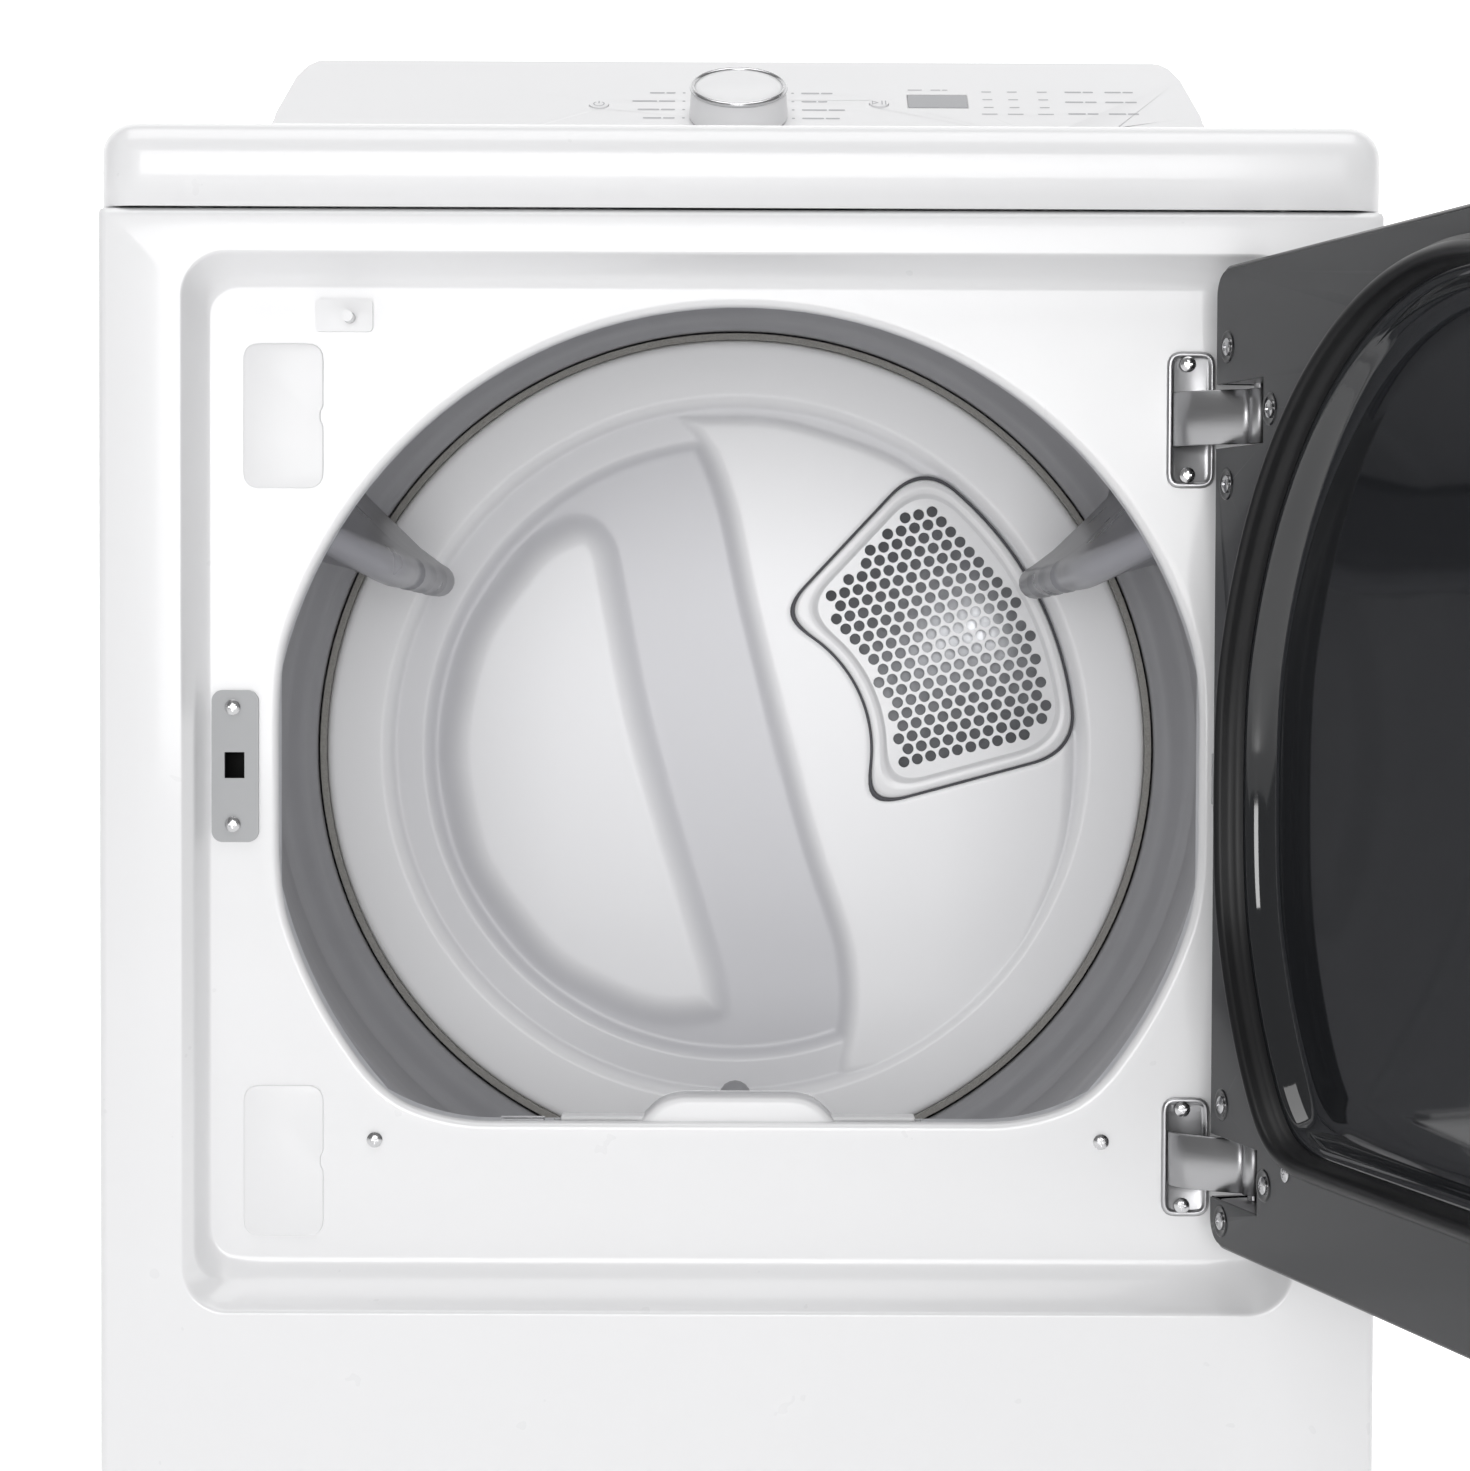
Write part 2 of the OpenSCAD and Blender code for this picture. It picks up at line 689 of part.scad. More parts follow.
module lint_duct() {
    w = 2;
    neck = 106;
    y = [-318, -292.5, -266];
    color("whitesmoke") difference() {
        union() {
            slab_y(y[0], y[1]) translate([-neck, 325]) square([2 * neck, 124]);
            slab_y(y[0], y[2]) polygon([[-neck, 329], [-neck, 300], [70, 190], [60, 140], [60, 62],
                [232, 62], [232, 170], [neck, 290], [neck, 329]]);
        }
        slab_y(y[0] + w, y[1] - w) translate([w - neck, 320]) square([2 * (neck - w), 140]);
        slab_y(y[0] + w, y[2] - w) polygon([[w - neck, 326], [w - neck, 301], [72, 191], [62, 141],
            [62, 64], [230, 64], [230, 169], [neck - w, 289], [neck - w, 326]]);
        rod_y(motor_x, motor_z, y[2] - 3, y[2] + 6, 60);
    }
}

module exhaust_duct() {
    color("silver") difference() {
        union() {
            rod_y(pipe[0], pipe[1], -195.5, y_rear + 3, collar_r + 0.7);
            rod_y(pipe[0], pipe[1], y_rear, y_rear + 43, collar_r);
        }
        rod_y(pipe[0], pipe[1], -196.5, y_rear + 44, collar_r - 1);
    }
}

module idler_arm() {
    color("silver") {
        difference() {
            union() {
                slab_y(80, 84) {
                    translate(pivot) circle(r = 11);
                    translate(idler) circle(r = 9);
                    translate(pivot) rotate(atan2(idler[1] - pivot[1], idler[0] - pivot[0]))
                        translate([0, -8]) square([norm(idler - pivot), 16]);
                }
            }
            rod_y(pivot[0], pivot[1], 70, 90, 5 + fit);
        }
        rod_y(idler[0], idler[1], 58, 81, 5);
    }
}

module idler_pulley() {
    color("black") difference() {
        rod_y(idler[0], idler[1], belt_y[0] - 3, belt_y[1] + 3, idler_r);
        rod_y(idler[0], idler[1], 50, 90, 5 + fit);
    }
}

module idler_spring() {
    color("gray") for (y = [86.5, 90, 93.5])
        translate([pivot[0], y, pivot[1]]) rotate([90, 0, 0]) rotate_extrude()
            translate([8.5, 0]) circle(r = 1.4, $fn = 24);
}

module heater_housing() {
    z0 = foot_h + sheet + gap;
    color("silver") {
        difference() {
            rod_y(heater[0], heater[1], 100, 287.5, can_r);
            rod_y(heater[0], heater[1], 99, 290, can_r - 1.5);
        }
        for (y = [120, 260]) difference() {
            block([heater[0] - 30, heater[0] + 30], [y, y + 3], [z0, heater[1] - 40]);
            rod_y(heater[0], heater[1], 99, 290, can_r - 0.5);
        }
    }
}

module heating_coil() {
    turns = 9;
    steps = 14;
    sides = 6;
    n = turns * steps;
    r = 38;
    wire = 2.2;
    span = [118, 262];
    ring = function (i) let (a = 360 * i / steps, y = span[0] + (span[1] - span[0]) * i / n)
        [for (k = [0 : sides - 1]) let (b = 360 * k / sides, q = r + wire * cos(b))
            [heater[0] + q * cos(a), y + wire * sin(b), heater[1] + q * sin(a)]];
    pts = [for (i = [0 : n]) each ring(i)];
    color("sienna") polyhedron(pts, concat(
        [[for (k = [0 : sides - 1]) k]],
        [for (i = [0 : n - 1], k = [0 : sides - 1]) let (a = i * sides + k,
            b = i * sides + (k + 1) % sides) [b, a, a + sides]],
        [for (i = [0 : n - 1], k = [0 : sides - 1]) let (a = i * sides + k,
            b = i * sides + (k + 1) % sides) [b, a + sides, b + sides]],
        [[for (k = [sides - 1 : -1 : 0]) n * sides + k]]));
}

module hot_air_duct() {
    outline = [[160, 40], [290, 40], [290, 500], [270, 700], [215, 860], [60, 860], [4, 760],
        [4, 580], [160, 420]];
    inner = [[162, 42], [288, 42], [288, 500], [268, 700], [213, 858], [62, 858], [6, 759],
        [6, 581], [162, 422]];
    y = [288, y_rear - 4 - gap];
    color("silver") difference() {
        slab_y(y[0], y[1]) polygon(outline);
        slab_y(y[0] + 2, y[1] - 2) polygon(inner);
        slab_y(y[0] - 1, y[0] + 3) intersection() {
            polygon(inner);
            translate([0, 265]) square([400, 700]);
        }
        rod_y(heater[0], heater[1], y[0] - 1, y[0] + 3, can_r - 1.5);
    }
}

// ---- lint filter ----

module lint_filter() {
    color("white") {
        difference() {
            block([-97, 97], [-311, -296], [352, 452]);
            block([-86, 86], [-312, -295], [362, 440]);
        }
        slab_y(-318.5, -292) polygon([[-55, 455.6], [55, 455.6], [51, 459.5], [44, 464.5],
            [35, 467.5], [-35, 467.5], [-44, 464.5], [-51, 459.5]]);
        block([-97, 97], [-311, -296], [451.9, 455.6]);
    }
}

module lint_screen() {
    color("lightgray") block([-85.8, 85.8], [-304, -303], [362.2, 439.8]);
}

module moisture_sensor() {
    color("silver") for (y = [-314, -302]) block([-130, -106], [y, y + 3.5], [452.2, 453.9]);
}

// ---- door, drawn closed ----

module door_outline(g, r) {
    rounded([-door_w / 2 + g, door_w / 2 - g], [door_z - door_h / 2 + g, door_z + door_h / 2 - g], r);
}

module notches(y0, y1) {
    for (h = hinge_zs) block([226, 300], [y0, y1], [h - notch_h, h + notch_h]);
}

module door_glass() {
    color("black") on_door() slab_y(y_glass[0], y_glass[1]) door_outline(0, 16);
}

module door_frame() {
    color("black") on_door() difference() {
        union() {
            slab_y(y_glass[1] + 0.1, y_inner - 2.2) difference() {
                door_outline(0.5, 15.5);
                door_outline(4.5, 11.5);
            }
            slab_y(y_glass[1] + 0.1, y_glass[1] + 2) difference() {
                door_outline(2, 14);
                gasket_outline(-40);
            }
        }
        notches(y_glass[1] + 2.1, y_inner);
        for (h = hinge_zs) block([262, 300], [y_glass[1] - 1, y_inner],
                                 [h - notch_h, h + notch_h]);
    }
}

door_screw_sites = [[273.5, 871.6], [273.5, 799.4], [273.5, 470.5], [273.5, 408.5],
    [217.4, 835.6], [187.8, 832.3], [217.4, 436.3], [189.3, 447], [-273.5, 871.6],
    [-273.5, 799.4], [-273.5, 470.5], [-273.5, 408.5]];

module door_inner_cover() {
    color("dimgray") on_door() difference() {
        slab_y(y_inner - 2, y_inner) difference() {
            door_outline(3, 13);
            gasket_outline(-gasket_w + 4);
            for (p = door_screw_sites) translate(p) circle(r = 2.1);
        }
        notches(y_inner - 3, y_inner + 1);
    }
}

module door_dish() {
    color("black") on_door() {
        slab_y(-357, -355 + eps) gasket_outline(-gasket_w + 2);
        slab_y(-355, y_inner) difference() {
            gasket_outline(-gasket_w + 2);
            gasket_outline(-gasket_w);
        }
    }
}

module door_gasket() {
    color("#222222") on_door() {
        slab_y(y_inner, -333) difference() {
            gasket_outline(0);
            gasket_outline(-gasket_w + 1);
        }
        slab_y(-333 - eps, y_floor - 2.4) difference() {
            gasket_outline(-3.5);
            gasket_outline(-gasket_w + 4);
        }
    }
}

module door_hinge_mounts() {
    color("silver") on_door() for (h = hinge_zs) {
        for (s = [-1, 1]) translate([0, 0, h + s * (notch_h + 1.5) - 1.25]) linear_extrude(2.5)
            rounded([205, 282], [-364.8, y_inner - 2.4], 4);
        block([205, 223], [y_inner - 5, y_inner - 2.4], [h - notch_h - 2, h + notch_h + 2]);
        translate([hinge_x, hinge_y, h - 23]) cylinder(h = 46, r = pin_r);
    }
}

module door_latch() {
    color("dimgray") on_door() {
        // hook on the free edge
        block([-283, -266.5], [y_inner, y_inner + 3], [628, 667]);
        block([-275.4, -270.4], [y_inner, -310], [643, 652]);
        block([-275.4, -270.4], [-316, -310], [643, 653.6]);
        // blanking plug on the hinge edge
        block([277.5, 287], [y_inner, y_inner + 1.6], [629.5, 656.6]);
    }
}

module door_screws() {
    color("silver") on_door() for (p = door_screw_sites)
        translate([p[0], y_inner, p[1]]) rotate([-90, 0, 0]) difference() {
            union() {
                intersection() {
                    cylinder(h = 2.2, r = 4.6);
                    translate([0, 0, 2.2 - 9]) sphere(r = 9);
                }
                translate([0, 0, -2.2]) cylinder(h = 2.3, r = 2);
            }
            for (a = [0, 90]) rotate(a) translate([-2.2, -0.5, 1]) cube([4.4, 1, 2]);
        }
}

// ---- hinges and fittings on the front panel ----

module hinge_brackets() {
    strap = [[234.5, -325], [235.5, -331], [239, -338], [245.5, -344.5], [254, -349.5],
        [262, -353.5], [270, -357.5]];
    color("silver") for (h = hinge_zs) difference() {
        union() {
            slab_y(y_floor - 2.5, y_floor) difference() {
                rounded([230, 256], [h - 36.8 * hinge_scale(h), h + 36.8 * hinge_scale(h)], 8);
                for (dz = [-29.8, 29.8]) translate([241, h + dz * hinge_scale(h)]) circle(r = 2.4);
            }
            translate([0, 0, h - strap_h / 2]) linear_extrude(strap_h)
                polygon(sheet_outline(strap, 3));
            translate([hinge_x, hinge_y, h - strap_h / 2]) cylinder(h = strap_h, r = 6);
        }
        translate([hinge_x, hinge_y, h - strap_h]) cylinder(h = 2 * strap_h, r = pin_r + fit);
    }
}

module strike_plate() {
    color("silver") slab_y(y_floor - 2, y_floor) difference() {
        rounded([-285.3, -259.9], [605.8, 688], 6);
        translate([-278.3, 640.4]) square([10.8, 14.1]);
        for (z = [678.8, 615.5]) translate([-273.8, z]) circle(r = 2.4);
    }
}

module door_switch_housing() {
    color("white") slab_y(y_floor - 2.5, y_floor) difference() {
        rounded([-229, -198.3], [881.3, 898.4], 2.5);
        translate([-210.7, 888.8]) circle(r = 3.1);
    }
}

module door_switch_plunger() {
    color("whitesmoke") {
        rod_y(-210.7, 888.8, y_floor - 14.5, -304, 3);
        rod_y(-210.7, 888.8, -309, -304, 5);
    }
}

module hinge_hole_covers() {
    color("white") for (h = [836.2, 432.6]) slab_y(y_floor - 1, y_floor)
        rounded([-268.3, -225], [h - 39, h + 39], 8);
}

module cabinet_screws() {
    color("silver") {
        for (h = hinge_zs, dz = [-29.8, 29.8])
            screw_y(241, y_floor - 2.5, h + dz * hinge_scale(h));
        for (z = [678.8, 615.5]) screw_y(-273.8, y_floor - 2, z);
        for (x = [-197.2, 197.2]) screw_y(x, y_floor, 444.2);
    }
}

side_panel_left();
side_panel_right();
rear_panel();
base_pan();
levelling_feet();
top_cover();
console_housing();
console_fascia();
display_window();
cycle_knob();
knob_ring();
power_button();
start_button();
option_button_1();
option_button_2();
option_button_3();
control_board();
front_panel();
front_bulkhead();
drum_felts();
drum();
drum_lifters();
drum_belt();
rear_bulkhead();
air_inlet_grille();
roller_front_left();
roller_front_right();
roller_rear_left();
roller_rear_right();
roller_axles();
motor_housing();
motor_bracket();
motor_shaft();
blower_wheel();
blower_housing();
lint_duct();
exhaust_duct();
idler_arm();
idler_pulley();
idler_spring();
heater_housing();
heating_coil();
hot_air_duct();
lint_filter();
lint_screen();
moisture_sensor();
door_glass();
door_frame();
door_inner_cover();
door_dish();
door_gasket();
door_hinge_mounts();
door_latch();
door_screws();
hinge_brackets();
strike_plate();
door_switch_housing();
door_switch_plunger();
hinge_hole_covers();
cabinet_screws();
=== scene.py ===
"""Looks of the clothes dryer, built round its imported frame. Metres, +Z up, the door side faces -Y."""

import json
import math

import bmesh
import bpy
import numpy as np
from mathutils import Matrix, Vector, geometry


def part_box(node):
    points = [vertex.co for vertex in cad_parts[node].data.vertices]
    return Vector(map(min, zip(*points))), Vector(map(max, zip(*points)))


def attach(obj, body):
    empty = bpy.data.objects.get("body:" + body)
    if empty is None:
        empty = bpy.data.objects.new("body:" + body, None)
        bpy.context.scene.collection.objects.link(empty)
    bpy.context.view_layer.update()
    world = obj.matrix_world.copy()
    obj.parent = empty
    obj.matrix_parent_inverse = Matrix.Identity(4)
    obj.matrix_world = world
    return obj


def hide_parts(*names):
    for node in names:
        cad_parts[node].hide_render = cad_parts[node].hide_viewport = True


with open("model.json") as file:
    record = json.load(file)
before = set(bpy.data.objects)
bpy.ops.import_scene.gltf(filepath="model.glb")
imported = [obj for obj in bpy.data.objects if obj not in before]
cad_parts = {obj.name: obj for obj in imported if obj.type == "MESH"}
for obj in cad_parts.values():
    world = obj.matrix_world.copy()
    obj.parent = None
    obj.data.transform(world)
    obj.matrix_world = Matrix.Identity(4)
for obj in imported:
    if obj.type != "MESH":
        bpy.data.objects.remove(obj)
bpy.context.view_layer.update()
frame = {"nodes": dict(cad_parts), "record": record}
MM = 0.001


# ---- places taken from the frame ----

JOINTS = {j["name"]: j for j in frame["record"]["behaviour"]["joints"]}
PANEL_LO, PANEL_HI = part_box("front_panel")
COVER_LO, COVER_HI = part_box("top_cover")
HALF_W = PANEL_HI[0]
FRONT = PANEL_LO[1]
RECESS_D = 22 * MM
FLOOR_Y = FRONT + RECESS_D
AXIS_Z = JOINTS["drum_spin"]["pos_m"][2]
HINGE = Vector(JOINTS["door_hinge"]["pos_m"])
OPEN = math.radians(-JOINTS["door_hinge"]["range_deg"][0])
INNER_Y = -341 * MM
MOUTH_R = 256.5 * MM
MOUTH_Z = 639.5 * MM
MOUTH_HALF = 249.7 * MM
MOUTH_SILL = 454 * MM
FACE = Vector((0, 90 * MM, 1008 * MM))
TILT = math.radians(31)
HINGE_HEIGHTS = (835.6, 436.3)              # millimetres, upper and lower
STRIKE_HOLE = ((-278.3 * MM, -267.5 * MM), (640.4 * MM, 654.5 * MM))


# ---- mesh helpers ----

def add_mesh(name, verts, faces, smooth=True):
    mesh = bpy.data.meshes.new(name)
    mesh.from_pydata([tuple(v) for v in verts], [], [tuple(f) for f in faces])
    mesh.validate()
    if smooth:
        mesh.polygons.foreach_set("use_smooth", [True] * len(mesh.polygons))
    obj = bpy.data.objects.new(name, mesh)
    bpy.context.scene.collection.objects.link(obj)
    return obj


def lofted(name, rings, cap_first=False, cap_last=False, flip=False):
    """Joins rings of equal length, each an (n, 3) array, into one quad surface."""
    n = len(rings[0])
    verts = np.concatenate(rings)
    faces = []
    for k in range(len(rings) - 1):
        a = k * n
        for i in range(n):
            j = (i + 1) % n
            face = (a + i, a + j, a + n + j, a + n + i)
            faces.append(face[::-1] if flip else face)
    if cap_first:
        faces.append(tuple(range(n))[::1 if flip else -1])
    if cap_last:
        last = (len(rings) - 1) * n
        faces.append(tuple(range(last, last + n))[::-1 if flip else 1])
    return add_mesh(name, verts, faces)


def rounded_path(points, radius, steps=5, closed=False):
    """The path with each corner replaced by an arc-like curve of about that radius."""
    pts = [np.array(p, float) for p in points]
    count = len(pts)
    radii = radius if isinstance(radius, (list, tuple)) else [radius] * count
    out = []
    for i, p in enumerate(pts):
        if not closed and i in (0, count - 1):
            out.append(p)
            continue
        a = pts[i - 1] - p
        b = pts[(i + 1) % count] - p
        reach = min(radii[i], np.linalg.norm(a) * 0.49, np.linalg.norm(b) * 0.49)
        if reach <= 0:
            out.append(p)
            continue
        start = p + a / np.linalg.norm(a) * reach
        end = p + b / np.linalg.norm(b) * reach
        for t in np.linspace(0, 1, steps + 1):
            out.append((1 - t) ** 2 * start + 2 * t * (1 - t) * p + t * t * end)
    return np.array(out)


def turned(name, centre, outline, count, axis="Y"):
    """Revolves (radius, height) points about a line through centre."""
    angles = np.linspace(0, 2 * math.pi, count, endpoint=False)
    rings = []
    for r, h in outline:
        r = max(r, 1e-6)
        if axis == "Y":
            ring = np.stack([r * np.cos(angles), np.full(count, h), r * np.sin(angles)], 1)
        else:
            ring = np.stack([r * np.cos(angles), r * np.sin(angles), np.full(count, h)], 1)
        rings.append(ring + np.array(centre))
    return lofted(name, rings)


def joined(name, parts):
    """Makes one piece of several mesh objects."""
    verts = []
    faces = []
    for part in parts:
        base = len(verts)
        verts += [tuple(v.co) for v in part.data.vertices]
        faces += [tuple(base + i for i in p.vertices) for p in part.data.polygons]
        bpy.data.objects.remove(part)
    return add_mesh(name, verts, faces)


def moved(obj, matrix):
    """Puts a new piece's mesh in its place."""
    obj.data.transform(matrix)


def onto_face(x, s, h=0.0):
    """The matrix that puts a piece made flat at the origin on the console's sloped face."""
    return (Matrix.Translation(FACE) @ Matrix.Rotation(TILT, 4, "X")
            @ Matrix.Translation((x, s, h)))


DOOR = (Matrix.Translation(HINGE) @ Matrix.Rotation(OPEN, 4, "Z")
        @ Matrix.Translation(-HINGE))


def bevelled(obj, width):
    """Rounds the edges of a carried-over CAD node or a piece."""
    weld = obj.modifiers.new("weld", "WELD")
    weld.merge_threshold = 0.00002
    bevel = obj.modifiers.new("bevel", "BEVEL")
    bevel.width = width
    bevel.segments = 3
    bevel.limit_method = "ANGLE"
    bevel.angle_limit = math.radians(25)
    bevel.use_clamp_overlap = True
    bevel.harden_normals = True


# ---- outlines as distance fields in the (X, Z) plane ----

def box_field(x, z, x_range, z_range, r):
    cx = (x_range[0] + x_range[1]) / 2
    cz = (z_range[0] + z_range[1]) / 2
    qx = np.abs(x - cx) - (x_range[1] - x_range[0]) / 2 + r
    qz = np.abs(z - cz) - (z_range[1] - z_range[0]) / 2 + r
    outside = np.hypot(np.maximum(qx, 0), np.maximum(qz, 0))
    return outside + np.minimum(np.maximum(qx, qz), 0) - r


def soft_max(a, b, k):
    h = np.maximum(k - np.abs(a - b), 0) / k
    return np.maximum(a, b) + h * h * k / 4


def mouth_field(x, z):
    arch = np.hypot(x, z - MOUTH_Z) - MOUTH_R
    sides = box_field(x, z, (-MOUTH_HALF, MOUTH_HALF), (MOUTH_SILL, 1.0), 115 * MM)
    return soft_max(arch, sides, 6 * MM)


def gasket_field(x, z):
    arch = np.hypot(x, z - 636 * MM) - 266 * MM
    sides = box_field(x, z, (-264 * MM, 264 * MM), (446 * MM, 1.0), 118 * MM)
    return soft_max(arch, sides, 8 * MM)


def polygon_field(x, z, points):
    """Signed distance to a closed polygon, negative inside."""
    best = np.full(x.shape, 1e9)
    inside = np.zeros(x.shape, bool)
    count = len(points)
    for i in range(count):
        ax, az = points[i]
        bx, bz = points[(i + 1) % count]
        dx, dz = bx - ax, bz - az
        t = np.clip(((x - ax) * dx + (z - az) * dz) / (dx * dx + dz * dz), 0, 1)
        best = np.minimum(best, np.hypot(x - ax - t * dx, z - az - t * dz))
        crosses = (az > z) != (bz > z)
        slope = np.where(crosses, (bx - ax) * (z - az) / (bz - az + 1e-12) + ax, 0)
        inside ^= crosses & (x < slope)
    return np.where(inside, -best, best)


def ring_of(field, level, centre, angles, far=0.8):
    """Points at the given distance from an outline, one on each ray from the centre."""
    lo = np.zeros(len(angles))
    hi = np.full(len(angles), far)
    for _ in range(34):
        half = (lo + hi) / 2
        inside = field(centre[0] + half * np.cos(angles),
                       centre[1] + half * np.sin(angles)) < level
        lo = np.where(inside, half, lo)
        hi = np.where(inside, hi, half)
    return centre[0] + lo * np.cos(angles), centre[1] + lo * np.sin(angles)


def with_y(ring, y):
    return np.stack([ring[0], np.broadcast_to(y, ring[0].shape), ring[1]], 1)


def smoothstep(t):
    t = np.clip(t, 0, 1)
    return t * t * (3 - 2 * t)


# ---- materials ----

class Shader:
    """A principled material with the procedural nodes that it needs."""

    def __init__(self, name, color, rough, metal=0.0):
        self.material = bpy.data.materials.new(name)
        self.material.use_nodes = True
        self.nodes = self.material.node_tree.nodes
        self.links = self.material.node_tree.links
        self.surface = self.nodes["Principled BSDF"]
        self.color = (*color, 1.0)
        self.set("Base Color", self.color)
        self.set("Roughness", rough)
        self.set("Metallic", metal)
        self.height = None
        self.coords = self.nodes.new("ShaderNodeTexCoord").outputs["Object"]

    def set(self, socket, value):
        self.surface.inputs[socket].default_value = value

    def noise(self, scale, detail=2.0, stretch=None):
        coords = self.coords
        if stretch:
            mapping = self.nodes.new("ShaderNodeMapping")
            mapping.inputs["Scale"].default_value = stretch
            self.links.new(coords, mapping.inputs["Vector"])
            coords = mapping.outputs["Vector"]
        noise = self.nodes.new("ShaderNodeTexNoise")
        noise.inputs["Scale"].default_value = scale
        noise.inputs["Detail"].default_value = detail
        self.links.new(coords, noise.inputs["Vector"])
        return noise.outputs["Fac"]

    def cells(self, scale):
        cells = self.nodes.new("ShaderNodeTexVoronoi")
        cells.inputs["Scale"].default_value = scale
        self.links.new(self.coords, cells.inputs["Vector"])
        return cells.outputs["Color"]

    def spread(self, value, low, high):
        """Turns a 0 to 1 value into one from low to high."""
        ramp = self.nodes.new("ShaderNodeMapRange")
        ramp.inputs["To Min"].default_value = low
        ramp.inputs["To Max"].default_value = high
        self.links.new(value, ramp.inputs["Value"])
        return ramp.outputs["Result"]

    def paint_shade_by_depth(self, near, far, near_color, far_color):
        """Paints shade into the base colour by how deep in Y a point lies: the near tone is the lit
        one, the far tone the shaded one.
        """
        split = self.nodes.new("ShaderNodeSeparateXYZ")
        self.links.new(self.coords, split.inputs["Vector"])
        depth = self.nodes.new("ShaderNodeMapRange")
        depth.interpolation_type = "SMOOTHSTEP"
        depth.inputs["From Min"].default_value = near
        depth.inputs["From Max"].default_value = far
        self.links.new(split.outputs["Y"], depth.inputs["Value"])
        mix = self.nodes.new("ShaderNodeMixRGB")
        mix.inputs["Color1"].default_value = (*near_color, 1)
        mix.inputs["Color2"].default_value = (*far_color, 1)
        self.links.new(depth.outputs["Result"], mix.inputs["Fac"])
        self.links.new(mix.outputs["Color"], self.surface.inputs["Base Color"])

    def rough_by(self, value, low, high):
        self.links.new(self.spread(value, low, high), self.surface.inputs["Roughness"])

    def tint_by(self, value, dark, light):
        """Varies the base colour between two brightness factors."""
        mix = self.nodes.new("ShaderNodeMixRGB")
        mix.inputs["Color1"].default_value = tuple(c * dark for c in self.color[:3]) + (1,)
        mix.inputs["Color2"].default_value = tuple(min(c * light, 1) for c in self.color[:3]) + (1,)
        self.links.new(value, mix.inputs["Fac"])
        self.links.new(mix.outputs["Color"], self.surface.inputs["Base Color"])

    def bump(self, value, depth, strength=1.0):
        bump = self.nodes.new("ShaderNodeBump")
        bump.inputs["Distance"].default_value = depth
        bump.inputs["Strength"].default_value = strength
        self.links.new(value, bump.inputs["Height"])
        if self.height:
            self.links.new(self.height, bump.inputs["Normal"])
        self.height = bump.outputs["Normal"]
        self.links.new(self.height, self.surface.inputs["Normal"])


def enamel(name, color, rough=0.28, coat=0.35):
    """Sprayed and baked enamel: a faint orange peel under a clear skin."""
    s = Shader(name, color, rough)
    s.set("Coat Weight", coat)
    s.set("Coat Roughness", 0.08)
    s.bump(s.noise(420, 3), 0.00005, 0.12)
    s.rough_by(s.noise(60, 2), rough - 0.015, rough + 0.02)
    s.tint_by(s.noise(2, 1), 0.994, 1.0)
    return s.material


def moulded(name, color, rough, grain=900, depth=0.00003):
    """Injection-moulded plastic: fine grain and slightly uneven gloss."""
    s = Shader(name, color, rough)
    s.bump(s.noise(grain, 2), depth, 0.35)
    s.rough_by(s.noise(14, 3), rough - 0.04, rough + 0.05)
    s.tint_by(s.noise(6, 2), 0.97, 1.0)
    return s.material


def brushed(name, color, rough, stretch=(40, 40, 1400), metal=1.0):
    """Rolled or brushed metal, with its grain along one direction."""
    s = Shader(name, color, rough, metal)
    grain = s.noise(1, 4, stretch)
    s.rough_by(grain, rough - 0.08, rough + 0.12)
    s.bump(grain, 0.00002, 0.3)
    s.tint_by(s.noise(25, 3), 0.9, 1.0)
    return s.material


def galvanised(name, color):
    """Zinc-coated sheet with its spangle."""
    s = Shader(name, color, 0.42, 0.9)
    spangle = s.cells(150)
    s.tint_by(spangle, 0.90, 1.02)
    s.rough_by(spangle, 0.36, 0.50)
    s.bump(s.noise(300, 2), 0.00004, 0.2)
    return s.material


def felted(name, color):
    s = Shader(name, color, 0.95)
    fibres = s.noise(900, 4, (1, 6, 1))
    s.tint_by(fibres, 0.55, 1.15)
    s.bump(fibres, 0.0006, 0.8)
    s.set("Sheen Weight", 0.4)
    return s.material


def rubbery(name, color, rough=0.42):
    s = Shader(name, color, rough)
    s.set("Specular IOR Level", 0.3)
    s.bump(s.noise(1200, 3), 0.00005, 0.4)
    s.rough_by(s.noise(30, 3), rough - 0.06, rough + 0.08)
    s.tint_by(s.noise(18, 2), 0.9, 1.0)
    return s.material


def smoked(name, color, rough=0.04, coat=0.25, specular=0.35):
    """Dark, deep-gloss smoked surface."""
    s = Shader(name, color, rough)
    s.set("Coat Weight", coat)
    s.set("Coat Roughness", 0.04)
    s.set("Specular IOR Level", specular)
    s.rough_by(s.noise(6, 3), rough, rough + 0.04)
    s.tint_by(s.noise(4, 2), 0.9, 1.0)
    s.bump(s.noise(5, 1), 0.00008, 0.15)
    return s.material


WHITE = enamel("white_enamel", (0.80, 0.80, 0.81))
WHITE_PLASTIC = moulded("white_plastic", (0.80, 0.80, 0.81), 0.30)
BULKHEAD = enamel("bulkhead_enamel", (0.60, 0.60, 0.625), 0.22, 0.5)
DRUM = brushed("drum_steel", (0.36, 0.36, 0.375), 0.36, (3, 700, 3), 0.4)
LIFTER = moulded("lifter_plastic", (0.17, 0.17, 0.185), 0.28)
GRILLE = enamel("grille_enamel", (0.74, 0.74, 0.75), 0.30, 0.3)
GALVANISED = galvanised("galvanised_sheet", (0.62, 0.63, 0.65))
HINGE_STEEL = brushed("hinge_steel", (0.42, 0.42, 0.43), 0.30)
BRIGHT_STEEL = brushed("bright_steel", (0.58, 0.58, 0.59), 0.22, (300, 300, 300))
STRIKE = moulded("strike_grey", (0.40, 0.405, 0.415), 0.45)
BLACK = smoked("door_black", (0.010, 0.010, 0.012), 0.06)
